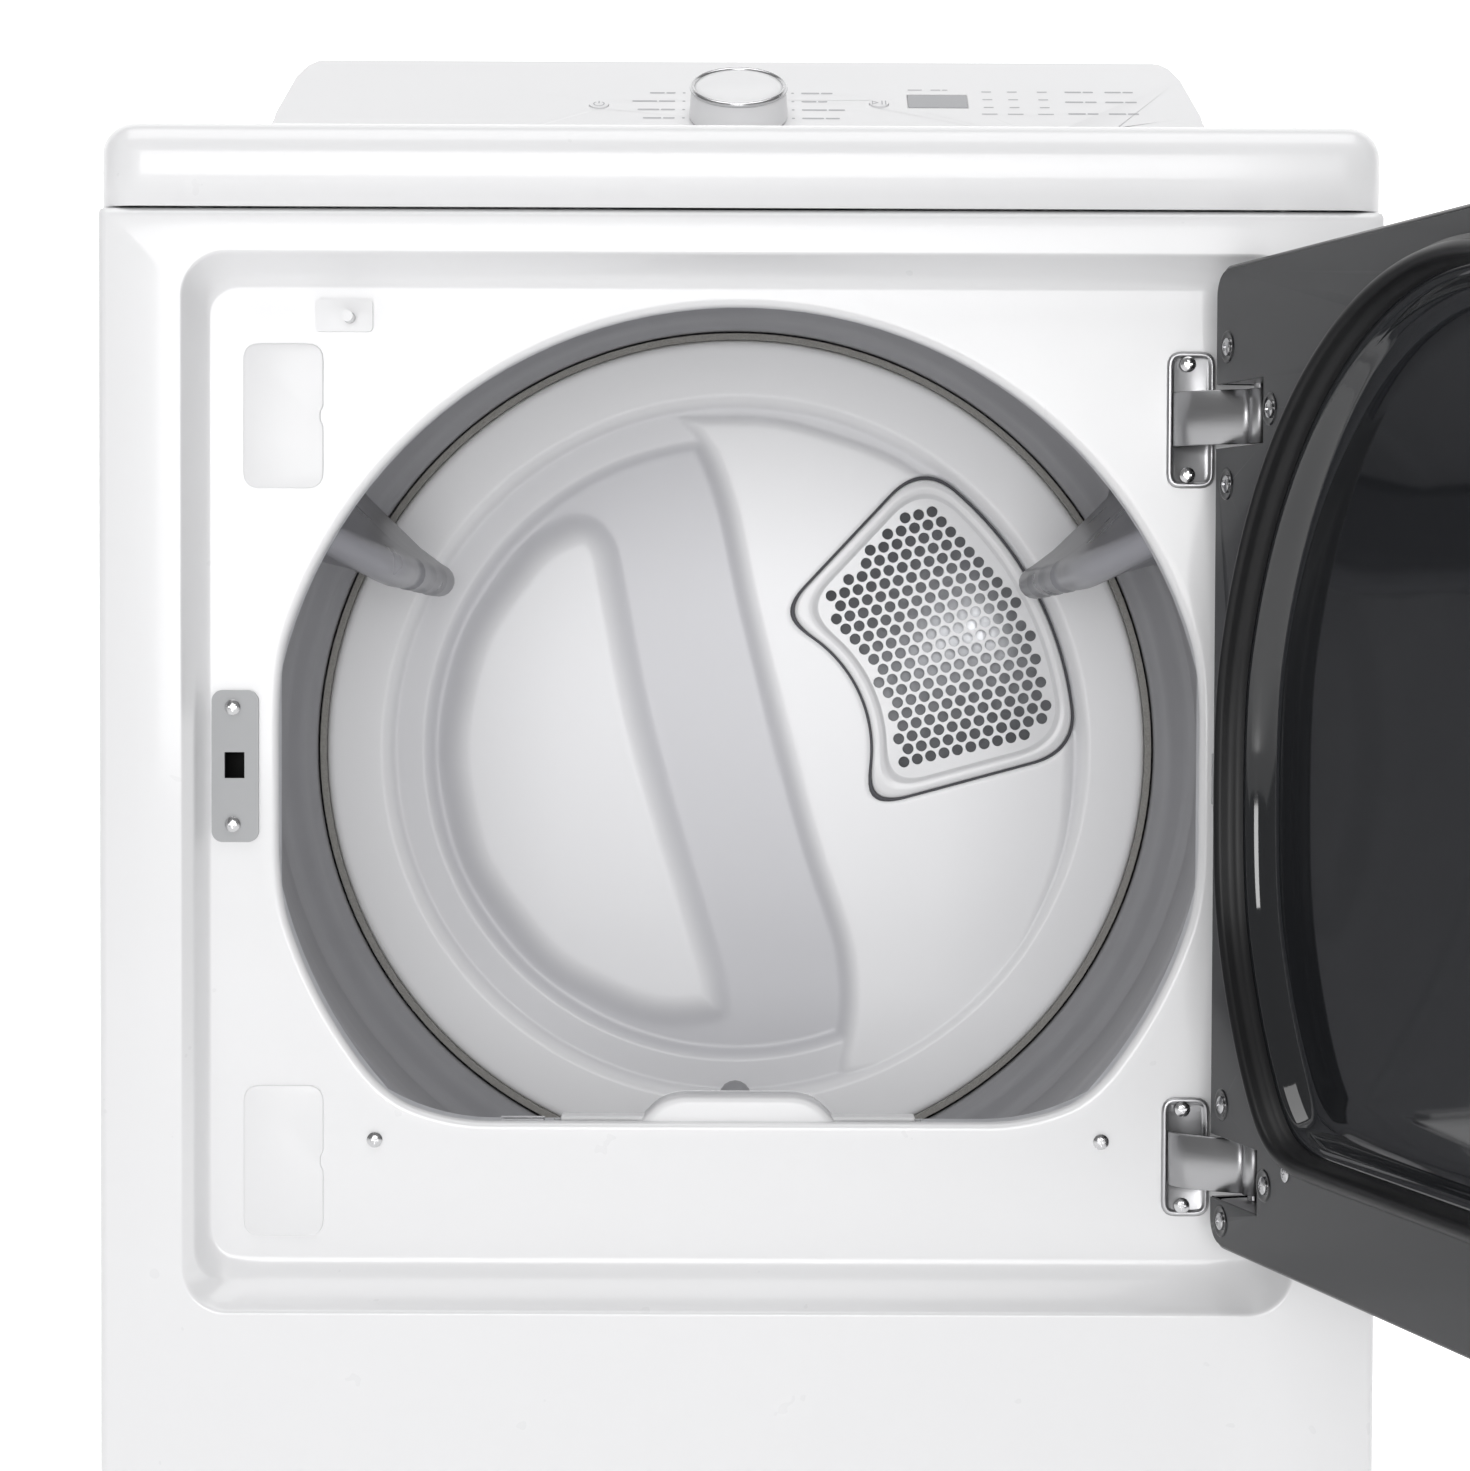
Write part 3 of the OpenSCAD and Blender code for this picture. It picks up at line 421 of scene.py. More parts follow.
DOOR_GREY = smoked("door_grey", (0.024, 0.025, 0.028), 0.30, 0.1)
DISH = smoked("door_dish_smoked", (0.012, 0.013, 0.015), 0.03, 0.55, 0.5)
RUBBER = rubbery("gasket_rubber", (0.008, 0.008, 0.009), 0.40)
BELT = rubbery("belt_rubber", (0.02, 0.02, 0.02), 0.6)
FELT = felted("seal_felt", (0.36, 0.35, 0.33))
DARK_PLASTIC = moulded("dark_plastic", (0.04, 0.04, 0.043), 0.5)
# painted shadow: the grey of the dark band that stands in for the shadow gap round the air inlet's rim
SHADOW_GAP = moulded("seam_grey", (0.09, 0.09, 0.10), 0.6)
# painted shade: near-black for the well behind the strike hole, so the hole reads dark
PIT_SHADE = moulded("pit_black", (0.004, 0.004, 0.004), 0.8)
IVORY = moulded("ivory_plastic", (0.66, 0.64, 0.58), 0.5)
MARKS = moulded("legend_grey", (0.46, 0.46, 0.48), 0.5)
DISPLAY = smoked("display_grey", (0.34, 0.345, 0.36), 0.12)
BOARD = moulded("board_green", (0.03, 0.13, 0.06), 0.5)
CHAMBER = galvanised("inlet_chamber", (0.66, 0.67, 0.69))
KNOB_TOP = brushed("knob_top", (0.86, 0.86, 0.87), 0.42, (8, 900, 8), 0.35)
COIL = brushed("coil_wire", (0.28, 0.22, 0.19), 0.5, (200, 200, 200))

NODE_LOOKS = {
    "side_panel_left": WHITE, "side_panel_right": WHITE, "rear_panel": GALVANISED,
    "base_pan": GALVANISED, "levelling_feet": DARK_PLASTIC, "top_cover": WHITE,
    "console_housing": WHITE_PLASTIC, "console_fascia": WHITE_PLASTIC,
    "display_window": DISPLAY, "cycle_knob": WHITE_PLASTIC, "knob_ring": BRIGHT_STEEL,
    "power_button": WHITE_PLASTIC, "start_button": WHITE_PLASTIC,
    "option_button_1": WHITE_PLASTIC, "option_button_2": WHITE_PLASTIC,
    "option_button_3": WHITE_PLASTIC, "control_board": BOARD, "front_panel": WHITE,
    "front_bulkhead": GALVANISED, "drum_felts": FELT, "drum": DRUM, "drum_lifters": LIFTER,
    "drum_belt": BELT, "rear_bulkhead": BULKHEAD, "air_inlet_grille": GRILLE,
    "roller_front_left": DARK_PLASTIC, "roller_front_right": DARK_PLASTIC,
    "roller_rear_left": DARK_PLASTIC, "roller_rear_right": DARK_PLASTIC,
    "roller_axles": HINGE_STEEL, "motor_housing": GALVANISED, "motor_bracket": GALVANISED,
    "motor_shaft": HINGE_STEEL, "blower_wheel": IVORY, "blower_housing": IVORY,
    "lint_duct": IVORY, "exhaust_duct": GALVANISED, "idler_arm": HINGE_STEEL,
    "idler_pulley": DARK_PLASTIC, "idler_spring": HINGE_STEEL, "heater_housing": GALVANISED,
    "heating_coil": COIL, "hot_air_duct": GALVANISED, "lint_filter": WHITE_PLASTIC,
    "lint_screen": HINGE_STEEL, "moisture_sensor": BRIGHT_STEEL, "door_glass": BLACK,
    "door_frame": BLACK, "door_inner_cover": DOOR_GREY, "door_dish": DISH,
    "door_gasket": RUBBER, "door_hinge_mounts": HINGE_STEEL, "door_latch": STRIKE,
    "door_screws": BRIGHT_STEEL, "hinge_brackets": HINGE_STEEL, "strike_plate": STRIKE,
    "door_switch_housing": WHITE_PLASTIC, "door_switch_plunger": WHITE_PLASTIC,
    "hinge_hole_covers": WHITE, "cabinet_screws": BRIGHT_STEEL,
}


def dress(obj, material):
    obj.data.materials.clear()
    obj.data.materials.append(material)


for node, look in NODE_LOOKS.items():
    dress(frame["nodes"][node], look)


def place(obj, body, material, slot, *nodes):
    """Gives a finished piece its material, its body and the CAD nodes it stands for; the slot argument
    is not used.
    """
    dress(obj, material)
    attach(obj, body)
    if nodes:
        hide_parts(*nodes)


# ---- front panel ----

def front_panel():
    centre = (0.0, MOUTH_Z)
    angles = np.linspace(0, 2 * math.pi, 1440, endpoint=False)
    z_range = (PANEL_LO[2], PANEL_HI[2])
    corner = 5 * MM

    def edge(x, z):
        return box_field(x, z, (-HALF_W, HALF_W), z_range, 3 * MM)

    def recess_top(x, z):
        return box_field(x, z, (-298.5 * MM, 298.5 * MM), (354 * MM, 922 * MM), 24 * MM)

    def recess_floor(x, z):
        return box_field(x, z, (-285.5 * MM, 285.5 * MM), (381 * MM, 904.6 * MM), 16 * MM)

    rings = [with_y(ring_of(edge, 0, centre, angles), FRONT + 20 * MM)]
    for t in np.linspace(0, math.pi / 2, 7):
        inset = corner * (1 - math.cos(t))
        rings.append(with_y(ring_of(edge, -inset, centre, angles),
                            FRONT + corner * (1 - math.sin(t))))
    outer = np.array(ring_of(recess_top, 0, centre, angles))
    inner = np.array(ring_of(recess_floor, 0, centre, angles))
    rings.append(with_y(outer + (outer - inner) * 0.35, FRONT))
    # the grip scoop runs down the left wall: a shallow chamfer, a crease, then a steep wall
    on_left = smoothstep((-outer[0] - 270 * MM) / (20 * MM))
    below_top = smoothstep((706 * MM - outer[1]) / (40 * MM))
    above_foot = smoothstep((outer[1] - 356 * MM) / (16 * MM))
    scoop = on_left * (below_top * above_foot)
    for u in np.concatenate([np.linspace(-0.1, 0.1, 5), np.linspace(0.16, 1.0, 18)]):
        plain = 1 - (1 - np.clip(u, 0, 1)) ** 1.9
        if u < 0.1:
            plain = plain * (u + 0.1) / 0.2
        chamfer = 0.42 * u / 0.5 if u < 0.5 else 0.42 + 0.58 * (1 - (1 - (u - 0.5) / 0.5) ** 2.2)
        chamfer = max(chamfer, 0) * (0.6 if u < 0.5 else 1)
        depth = plain * (1 - scoop) + chamfer * scoop
        ring = outer * (1 - u) + inner * u
        rings.append(with_y(ring, FRONT + RECESS_D * depth))
    reach = np.hypot(inner[0], inner[1] - MOUTH_Z)
    for level, margin in ((14 * MM, 0.5 * MM), (8 * MM, 1.5 * MM), (4.2 * MM, 3 * MM)):
        ring = ring_of(mouth_field, level, centre, angles)
        r = np.minimum(np.hypot(ring[0], ring[1] - MOUTH_Z), reach - margin)
        rings.append(with_y((r * np.cos(angles), MOUTH_Z + r * np.sin(angles)), FLOOR_Y))
    roll = 3.6 * MM
    for t in np.linspace(0, math.pi / 2, 7)[1:]:
        rings.append(with_y(ring_of(mouth_field, roll * (1 - math.sin(t)), centre, angles),
                            FLOOR_Y + roll * (1 - math.cos(t))))
    rings.append(with_y(ring_of(mouth_field, 0, centre, angles), FLOOR_Y + 6.9 * MM))
    rings.append(with_y(ring_of(mouth_field, 1.5 * MM, centre, angles), FLOOR_Y + 6.9 * MM))
    panel = lofted("front_panel_shell", rings)
    cut_window(panel, *STRIKE_HOLE)
    place(panel, "cabinet", WHITE, "white_enamel", "front_panel")


def cut_window(obj, x_range, z_range, margin=0.03):
    """Cuts a rectangular hole through the part of a panel near it."""
    bm = bmesh.new()
    bm.from_mesh(obj.data)
    for axis, value in ((0, x_range[0]), (0, x_range[1]), (2, z_range[0]), (2, z_range[1])):
        near = [f for f in bm.faces
                if x_range[0] - margin < f.calc_center_median().x < x_range[1] + margin
                and z_range[0] - margin < f.calc_center_median().z < z_range[1] + margin]
        nearby = {*near}
        for f in near:
            nearby.update(f.edges)
            nearby.update(f.verts)
        point = [0, 0, 0]
        point[axis] = value
        normal = [0, 0, 0]
        normal[axis] = 1
        bmesh.ops.bisect_plane(bm, geom=list(nearby), plane_co=point, plane_no=normal)
    inside = [f for f in bm.faces
              if x_range[0] < f.calc_center_median().x < x_range[1]
              and z_range[0] < f.calc_center_median().z < z_range[1]]
    bmesh.ops.delete(bm, geom=inside, context="FACES")
    bm.to_mesh(obj.data)
    bm.free()


front_panel()


# ---- top cover ----

def top_cover():
    angles = np.linspace(0, 2 * math.pi, 960, endpoint=False)
    lo, hi = COVER_LO, COVER_HI

    def plan(x, y):
        return box_field(x, y, (lo[0], hi[0]), (lo[1], hi[1]), 20 * MM)

    def ring(level, z):
        x, y = ring_of(plan, level, (0.0, 0.0), angles)
        return np.stack([x, y, np.full(len(x), z)], 1)

    edge = 17 * MM
    rings = [ring(-2 * MM, lo[2] + 6 * MM), ring(-1.6 * MM, lo[2] + 0.4 * MM),
             ring(-0.6 * MM, lo[2]), ring(0, lo[2] + 0.8 * MM)]
    rings.append(ring(0, hi[2] - edge - 4 * MM))
    for t in np.linspace(0, math.pi / 2, 12):
        rings.append(ring(-edge * (1 - math.cos(t)), hi[2] - edge + edge * math.sin(t)))
    rings.append(ring(-60 * MM, hi[2]))
    cover = lofted("top_cover_shell", rings, cap_last=True)
    place(cover, "cabinet", WHITE, "white_enamel", "top_cover")


top_cover()


# ---- general shapes used by the smaller pieces ----

def inset(outline, amount):
    """Moves a closed counter-clockwise outline inwards by that amount, point by point."""
    before = outline - np.roll(outline, 1, 0)
    after = np.roll(outline, -1, 0) - outline
    before /= np.linalg.norm(before, axis=1)[:, None] + 1e-12
    after /= np.linalg.norm(after, axis=1)[:, None] + 1e-12
    along = before + after
    along /= np.linalg.norm(along, axis=1)[:, None] + 1e-12
    normal = np.stack([-along[:, 1], along[:, 0]], 1)
    stretch = np.maximum((before * along).sum(1), 0.5)
    return outline + normal * (amount / stretch)[:, None]


def plate(name, outline, back, front, edge, steps=4):
    """A plate in the XZ plane whose front edge is rounded; it faces -Y."""
    rings = [np.stack([outline[:, 0], np.full(len(outline), back), outline[:, 1]], 1)]
    for t in np.linspace(0, math.pi / 2, steps + 1):
        ring = inset(outline, edge * (1 - math.cos(t)))
        y = front + edge * (1 - math.sin(t))
        rings.append(np.stack([ring[:, 0], np.full(len(ring), y), ring[:, 1]], 1))
    return lofted(name, rings, cap_last=True)


def rectangle(x_range, z_range, r, steps=5):
    corners = [(x_range[0], z_range[0]), (x_range[1], z_range[0]),
               (x_range[1], z_range[1]), (x_range[0], z_range[1])]
    return rounded_path(corners, r, steps, closed=True)


def flat_mark(outline):
    """A printed mark: one thin face, drawn in the XY plane."""
    return add_mesh("mark", [(x, y, 0) for x, y in outline], [tuple(range(len(outline)))], False)


def disc_outline(x, y, r, count=24):
    return [(x + r * math.cos(2 * math.pi * k / count), y + r * math.sin(2 * math.pi * k / count))
            for k in range(count)]


# ---- rear bulkhead and air inlet ----

def fan_field(x, z):
    """The air inlet's outline: two arcs about the drum's axis and two straight sides."""
    r = np.hypot(x, z - AXIS_Z)

    def side(a, b):
        dx, dz = b[0] - a[0], b[1] - a[1]
        return ((x - a[0]) * dz - (z - a[1]) * dx) / math.hypot(dx, dz)

    top = side((127 * MM, 829 * MM), (30 * MM, 725 * MM))
    low = side((103 * MM, 602.5 * MM), (240 * MM, 640 * MM))
    corner = 30 * MM
    outline = soft_max(soft_max(102 * MM - r, r - 237 * MM, corner), top, corner)
    return np.maximum(soft_max(outline, low, corner), 14 * MM - x) - 4 * MM


# the two raised fields of the pressing, in millimetres, before their corners are rounded
LEFT_PLATEAU = [(-97.5, 803), (-83, 785), (-61.5, 671), (-42, 600), (-21, 533), (-2, 470),
                (0, 438.6), (-60, 432), (-140, 470), (-200, 548), (-218, 636), (-200, 722),
                (-150, 790), (-118, 806)]
RIGHT_PLATEAU = [(-75, 881.5), (-33.5, 857), (-15.5, 814), (-1, 743), (17, 671.5), (46, 564),
                 (71.5, 493), (75, 450), (61, 388), (150, 404), (215, 480), (247, 560),
                 (252, 640), (238, 730), (190, 800), (120, 855), (30, 884)]


def rear_bulkhead():
    """The pressed disc that closes the rear of the drum; deeper is greater Y."""
    radii = np.concatenate([np.linspace(0.5, 214, 86), np.linspace(216, 256, 34),
                            np.linspace(259, 286, 12), [288, 290, 291.2, 291.8, 292]]) * MM
    angles = np.linspace(0, 2 * math.pi, 540, endpoint=False)
    left = rounded_path(np.array(LEFT_PLATEAU) * MM, 30 * MM, 4, closed=True)
    right = rounded_path(np.array(RIGHT_PLATEAU) * MM, 30 * MM, 4, closed=True)
    rings = []
    for r in radii:
        x = r * np.cos(angles)
        z = AXIS_Z + r * np.sin(angles)
        low = 281 * MM
        plateau = smoothstep(-polygon_field(x, z, left) / (24 * MM)) * 7 * MM
        other = smoothstep(-polygon_field(x, z, right) / (17 * MM)) * 9 * MM
        step = smoothstep((r - 214 * MM) / (10 * MM)) * 5 * MM
        step = step + smoothstep((r - 243 * MM) / (10 * MM)) * 8 * MM
        y = low - np.maximum(np.maximum(plateau, other), step)
        rim = np.clip((r - 286 * MM) / (6 * MM), 0, 1)
        y = y + (1 - np.sqrt(1 - rim ** 2 * 0.999)) * 6 * MM
        pocket = smoothstep((3 * MM - fan_field(x, z)) / (4 * MM)) * 3.2 * MM
        rings.append(np.stack([x, y + pocket, z], 1))
    disc = lofted("rear_bulkhead_pressing", rings, cap_first=True, flip=True)
    bm = bmesh.new()
    bm.from_mesh(disc.data)
    faces = list(bm.faces)
    xs = np.array([f.calc_center_median().x for f in faces])
    zs = np.array([f.calc_center_median().z for f in faces])
    inside = fan_field(xs, zs) < -9 * MM
    bmesh.ops.delete(bm, geom=[f for f, hit in zip(faces, inside) if hit], context="FACES")
    bm.to_mesh(disc.data)
    bm.free()
    shade = Shader("bulkhead_enamel_shaded", (0.80, 0.80, 0.815), 0.36)
    shade.set("Coat Weight", 0.12)
    shade.set("Coat Roughness", 0.15)
    # painted shade: the deeper band of the pressing is coloured darker grey than the raised fields,
    # though the enamel is one colour
    shade.paint_shade_by_depth(270 * MM, 281 * MM, (0.90, 0.90, 0.91), (0.60, 0.60, 0.625))
    shade.bump(shade.noise(420, 3), 0.00006, 0.2)
    back = turned("bulkhead_back", (0, 0, AXIS_Z),
                  [(292 * MM, 268 * MM), (292.5 * MM, 271 * MM), (293.5 * MM, 286 * MM),
                   (330 * MM, 286.2 * MM)], 180)
    whole = joined("rear_bulkhead_disc", [disc, back])
    place(whole, "cabinet", shade.material, "bulkhead_grey", "rear_bulkhead")


def air_inlet():
    """The perforated grille, a dark grey band of painted shadow round its rim and the chamber behind
    it.
    """
    centre = (146 * MM, 712 * MM)
    angles = np.linspace(0, 2 * math.pi, 240, endpoint=False)
    face = 269.5 * MM
    profile = [(0.4, 6), (0, 1.2), (-0.5, 0.3), (-1.6, 0), (-7, 0), (-8.2, 0.5), (-9.2, 2.2),
               (-10.4, 2.8)]
    rings = [with_y(ring_of(fan_field, d * MM, centre, angles, 0.3), face + h * MM)
             for d, h in profile]
    rim = lofted("air_inlet_rim", rings)
    edge = np.stack(ring_of(fan_field, -10.2 * MM, centre, angles, 0.3), 1)
    points = [Vector(p) for p in edge]
    loops = [list(range(len(points)))]
    pitch = 9.8 * MM
    hole_r = 4 * MM
    hole_sides = 16
    reach = range(-17, 18)
    tilt = math.radians(13)
    for row in reach:
        for col in reach:
            u = (col + 0.5 * (row % 2)) * pitch
            v = row * pitch * math.sqrt(3) / 2
            x = centre[0] + u * math.cos(tilt) - v * math.sin(tilt)
            z = centre[1] + u * math.sin(tilt) + v * math.cos(tilt)
            if fan_field(np.array([x]), np.array([z]))[0] < -14.8 * MM:
                base = len(points)
                points += [Vector(p) for p in disc_outline(x, z, hole_r, hole_sides)]
                loops.append(list(range(base, base + hole_sides)))
    made = geometry.delaunay_2d_cdt(points, [], loops, 5, 1e-7)
    verts = [(p.x, face + 2.8 * MM, p.y) for p in made[0]]
    plate_mesh = add_mesh("air_inlet_plate", verts, made[2], False)
    for part in (rim, plate_mesh):
        place(part, "cabinet", GRILLE, "grille_white", "air_inlet_grille")
    # painted shadow: a dark grey bead round the rim stands in for the shadow gap between grille and
    # bulkhead
    shadow_gap_profile = [(0.2, 1.5), (0.5, 0.2), (1.3, 0.2), (1.9, 1.5), (1.9, 6)]
    rings = [with_y(ring_of(fan_field, d * MM, centre, angles, 0.3), face + h * MM)
             for d, h in shadow_gap_profile]
    shadow_gap = lofted("air_inlet_seam", rings)
    place(shadow_gap, "cabinet", SHADOW_GAP, "dark_plastic")
    thick = plate_mesh.modifiers.new("thickness", "SOLIDIFY")
    thick.thickness = 1.2 * MM
    thick.offset = 0
    back = np.stack(ring_of(fan_field, 2 * MM, centre, angles, 0.3), 1)
    box = lofted("air_inlet_chamber",
                 [np.stack([back[:, 0], np.full(len(back), y), back[:, 1]], 1)
                  for y in (face + 3.4 * MM, 286 * MM)], cap_last=True)
    place(box, "cabinet", CHAMBER, "galvanised")


rear_bulkhead()
air_inlet()


# ---- drum ----

def sheet_profile(path, thickness):
    """The closed outline of a sheet that follows a path on its inner side."""
    path = np.array(path)
    along = np.gradient(path, axis=0)
    along /= np.linalg.norm(along, axis=1)[:, None]
    outer = path + np.stack([along[:, 1], -along[:, 0]], 1) * thickness
    return [tuple(p) for p in path] + [tuple(p) for p in outer[::-1]] + [tuple(path[0])]


def drum():
    r = 320.4
    bead = 2.5
    corners = [(300.4, -288), (300.4, -272), (304, -263), (316, -254), (r, -244), (r, -96),
               (r - bead, -90), (r - bead, -78), (r, -72), (r, 100), (r - bead, 106),
               (r - bead, 118), (r, 124), (r, 206), (r - 4, 224), (r - 15, 238), (r - 18, 248),
               (297.4, 256), (297.4, 271.5)]
    path = rounded_path(np.array(corners) * MM, 5 * MM, 5)
    shell = turned("drum_shell", (0, 0, AXIS_Z), sheet_profile(path, 1.4 * MM), 240)
    place(shell, "drum", DRUM, "drum_grey", "drum")


def lifter(angle, name):
    """A hollow paddle: its nose ramps in from the front, then falls in three shallow steps."""
    rings = []
    ramp_end = -55
    steps = (0, 62, 124)
    depths = list(np.linspace(-232, ramp_end, 30)) + list(np.linspace(190, 200, 5))
    for edge in (ramp_end,) + steps:
        depths += [edge + 3, edge + 6, edge + 30, edge + 55]
    for y in sorted(set(depths)):
        front = math.sin(min(max((y + 232) / (ramp_end + 232), 0), 1) * math.pi / 2) ** 0.9
        tip = 306 - (306 - 233) * front
        tip -= sum(2.2 * float(smoothstep((y - edge) / 3)) for edge in steps)
        closing = max((y - 190) / 10, 0)
        tip += 14 * (1 - math.sqrt(max(1 - closing ** 2, 0)))
        half = 11 - 3 * (1 - front)
        nose = tip + half
        section = [(317.2, -32), (311, -26), (nose + 22, -half * 1.2), (nose + 4, -half)]
        for t in np.linspace(-80, 80, 9):
            a = math.radians(t)
            section.append((nose - half * math.cos(a), half * math.sin(a)))
        section += [(nose + 4, half), (nose + 22, half * 1.2), (311, 26), (317.2, 32)]
        rings.append(np.array([(min(u, 317.2) * MM, y * MM, v * MM) for u, v in section]))
    obj = lofted(name, rings, cap_first=True, cap_last=True)
    moved(obj, Matrix.Translation((0, 0, AXIS_Z)) @ Matrix.Rotation(math.radians(-angle), 4, "Y"))
    return obj


def lifters():
    for index, angle in enumerate((30, 150, 270)):
        obj = lifter(angle, "drum_lifter_" + str(index + 1))
        place(obj, "drum", LIFTER, "drum_grey", "drum_lifters")


drum()
lifters()


# ---- door ----

def door_ring(level, y, angles):
    return with_y(ring_of(gasket_field, level * MM, (0.0, AXIS_Z), angles), y * MM)


def door_parts():
    angles = np.linspace(0, 2 * math.pi, 480, endpoint=False)
    profile = [(-2, -341), (-2, -336.5), (-2.6, -335.2), (-4, -334.4), (-5, -333), (-5.2, -330.2)]
    for t in np.linspace(0, math.pi, 10):
        profile.append((-8.6 + 3.4 * math.cos(t), -330.2 + 3.0 * math.sin(t)))
    profile += [(-12, -332.6), (-12.4, -335), (-13.8, -336.6), (-14.8, -338.4), (-15, -341)]
    gasket = lofted("door_gasket_ring", [door_ring(d, y, angles) for d, y in profile])
    moved(gasket, DOOR)
    place(gasket, "door", RUBBER, "rubber", "door_gasket")
    bowl = [(-14.5, -341.2), (-16, -341.2), (-18, -341.8), (-19.5, -343.5), (-20.5, -346),
            (-22.5, -350), (-26, -353.2), (-32, -354.8), (-44, -355.4), (-90, -355.8),
            (-180, -356.2)]
    dish = lofted("door_dish_bowl", [door_ring(d, y, angles) for d, y in bowl], cap_last=True)
    moved(dish, DOOR)
    place(dish, "door", DISH, "smoked_glass", "door_dish")


door_parts()


def screw_wells():
    """Dark dimples round the screws in the door's inner cover."""
    edge_x = 273.5
    edge_heights = (871.6, 799.4, 470.5, 408.5)
    sites = [(edge_x, z) for z in edge_heights]
    sites += [(217.4, z) for z in HINGE_HEIGHTS]
    sites += [(-edge_x, z) for z in edge_heights]
    wells = []
    for x, z in sites:
        wells.append(turned("well", (x * MM, 0, z * MM),
                            [(4.4 * MM, INNER_Y + 0.15 * MM), (6.6 * MM, INNER_Y + 0.35 * MM),
                             (7.8 * MM, INNER_Y + 0.7 * MM), (8.4 * MM, INNER_Y + 0.5 * MM),
                             (8.8 * MM, INNER_Y - 0.1 * MM)], 32))
    whole = joined("door_screw_wells", wells)
    moved(whole, DOOR)
    place(whole, "door", BLACK, "door_black")


screw_wells()


def door_edge_trim():
    """The glossy black lip round the edge of the door's inner side."""
    angles = np.linspace(0, 2 * math.pi, 720, endpoint=False)
    lo, hi = -291 * MM, 291 * MM

    def edge(x, z):
        return box_field(x, z, (lo, hi), (393 * MM, 915 * MM), 16 * MM)

    profile = [(-0.6, -366.8), (-0.6, -343.6), (-0.9, -342.9), (-1.6, -342.6), (-2.6, -342.7),
               (-3.3, -343.2)]
    rings = [with_y(ring_of(edge, d * MM, (0, 654 * MM), angles), y * MM) for d, y in profile]
    trim = lofted("door_edge_trim", rings)
    notch_faces(trim)
    moved(trim, DOOR)
    place(trim, "door", BLACK, "door_black")


def notch_faces(obj):
    """Opens the trim where the hinge straps pass."""
    bm = bmesh.new()
    bm.from_mesh(obj.data)
    half = 17 * MM
    for height in (z * MM for z in HINGE_HEIGHTS):
        for edge in (-half, half):
            everything = bm.verts[:] + bm.edges[:] + bm.faces[:]
            bmesh.ops.bisect_plane(bm, geom=everything, plane_co=(0, 0, height + edge),
                                   plane_no=(0, 0, 1))
        inside = [f for f in bm.faces if f.calc_center_median().x > 0.2
                  and abs(f.calc_center_median().z - height) < half]
        bmesh.ops.delete(bm, geom=inside, context="FACES")
    bm.to_mesh(obj.data)
    bm.free()


door_edge_trim()


# ---- console: knob, generic legend and button icons ----

def knob():
    r, h = 34, 24
    corners = [(0.01, 0.6), (r - 0.4, 0.6), (r, 1.4), (r - 1.4, h - 4.2), (r - 2.4, h - 3.6)]
    body = rounded_path(corners, 1.2, 4)
    side = turned("cycle_knob_body", (0, 0, 0), [(a * MM, b * MM) for a, b in body], 180, "Z")
    ring_path = [(r - 2.6, h - 3.8)]
    for t in np.linspace(-0.35 * math.pi, 1.05 * math.pi, 14):
        ring_path.append((r - 2.2 + 1.9 * math.cos(t), h - 2.1 + 1.9 * math.sin(t)))
    ring = turned("cycle_knob_ring", (0, 0, 0), [(a * MM, b * MM) for a, b in ring_path], 180, "Z")
    top_path = [(r - 3.9, h - 2.2), (r - 4.6, h - 1.3), (r - 8, h - 1.05), (r * 0.5, h - 1.5),
                (0.01, h - 1.7)]
    top = turned("cycle_knob_top", (0, 0, 0), [(a * MM, b * MM) for a, b in top_path], 180, "Z")
    where = onto_face(0, 131 * MM)
    for obj, material, slot in ((side, WHITE_PLASTIC, "white_plastic"),
                                (ring, BRIGHT_STEEL, "knob_metal"),
                                (top, KNOB_TOP, "knob_metal")):
        moved(obj, where)
        place(obj, "cycle_knob", material, slot, "cycle_knob", "knob_ring")


def word_bars(x, s, width, height):
    """Generic dashes in place of a printed word or two."""
    gap = 1.1 * MM
    first = width * 0.58
    left, right = x - width / 2, x + width / 2
    spans = [(left, left + first), (left + first + gap, right)]
    if width < 12 * MM:
        spans = [(left, right)]
    rows = (s - height / 2, s + height / 2)
    return [flat_mark(rectangle(span, rows, height * 0.35, 2)) for span in spans]


def legend():
    marks = []
    for row in range(4):
        s = (174 - 15 * row) * MM
        for side in (-1, 1):
            width = (18 + 4 * ((row * 3 + (side > 0)) % 4)) * MM
            inner = 44 * MM
            marks += word_bars(side * (inner + width / 2), s, width, 2.4 * MM)
            marks.append(flat_mark(disc_outline(side * (inner - 6 * MM), s, 1.1 * MM, 12)))
    for x in (174, 192, 213):
        for s in (178, 164, 150, 138):
            marks += word_bars(x * MM, s * MM, (7 if s > 140 else 11) * MM, 1.6 * MM)
    for x in (239, 267):
        for s, width in ((178, 20), (160, 22), (139, 21)):
            marks += word_bars(x * MM, s * MM, width * MM, 2.4 * MM)
    for s, x, width in ((181, 124, 10), (181, 141, 12)):
        marks += word_bars(x * MM, s * MM, width * MM, 1.4 * MM)
    whole = joined("console_legend", marks)
    moved(whole, onto_face(0, 0, 0.12 * MM))
    place(whole, "cabinet", MARKS, "dark_plastic")


def ring_mark(r, width, start, end, count=28):
    """An arc-shaped band about the origin."""
    outline = [((r + width / 2) * math.cos(a), (r + width / 2) * math.sin(a))
               for a in np.linspace(start, end, count)]
    outline += [((r - width / 2) * math.cos(a), (r - width / 2) * math.sin(a))
                for a in np.linspace(end, start, count)]
    return flat_mark(outline)


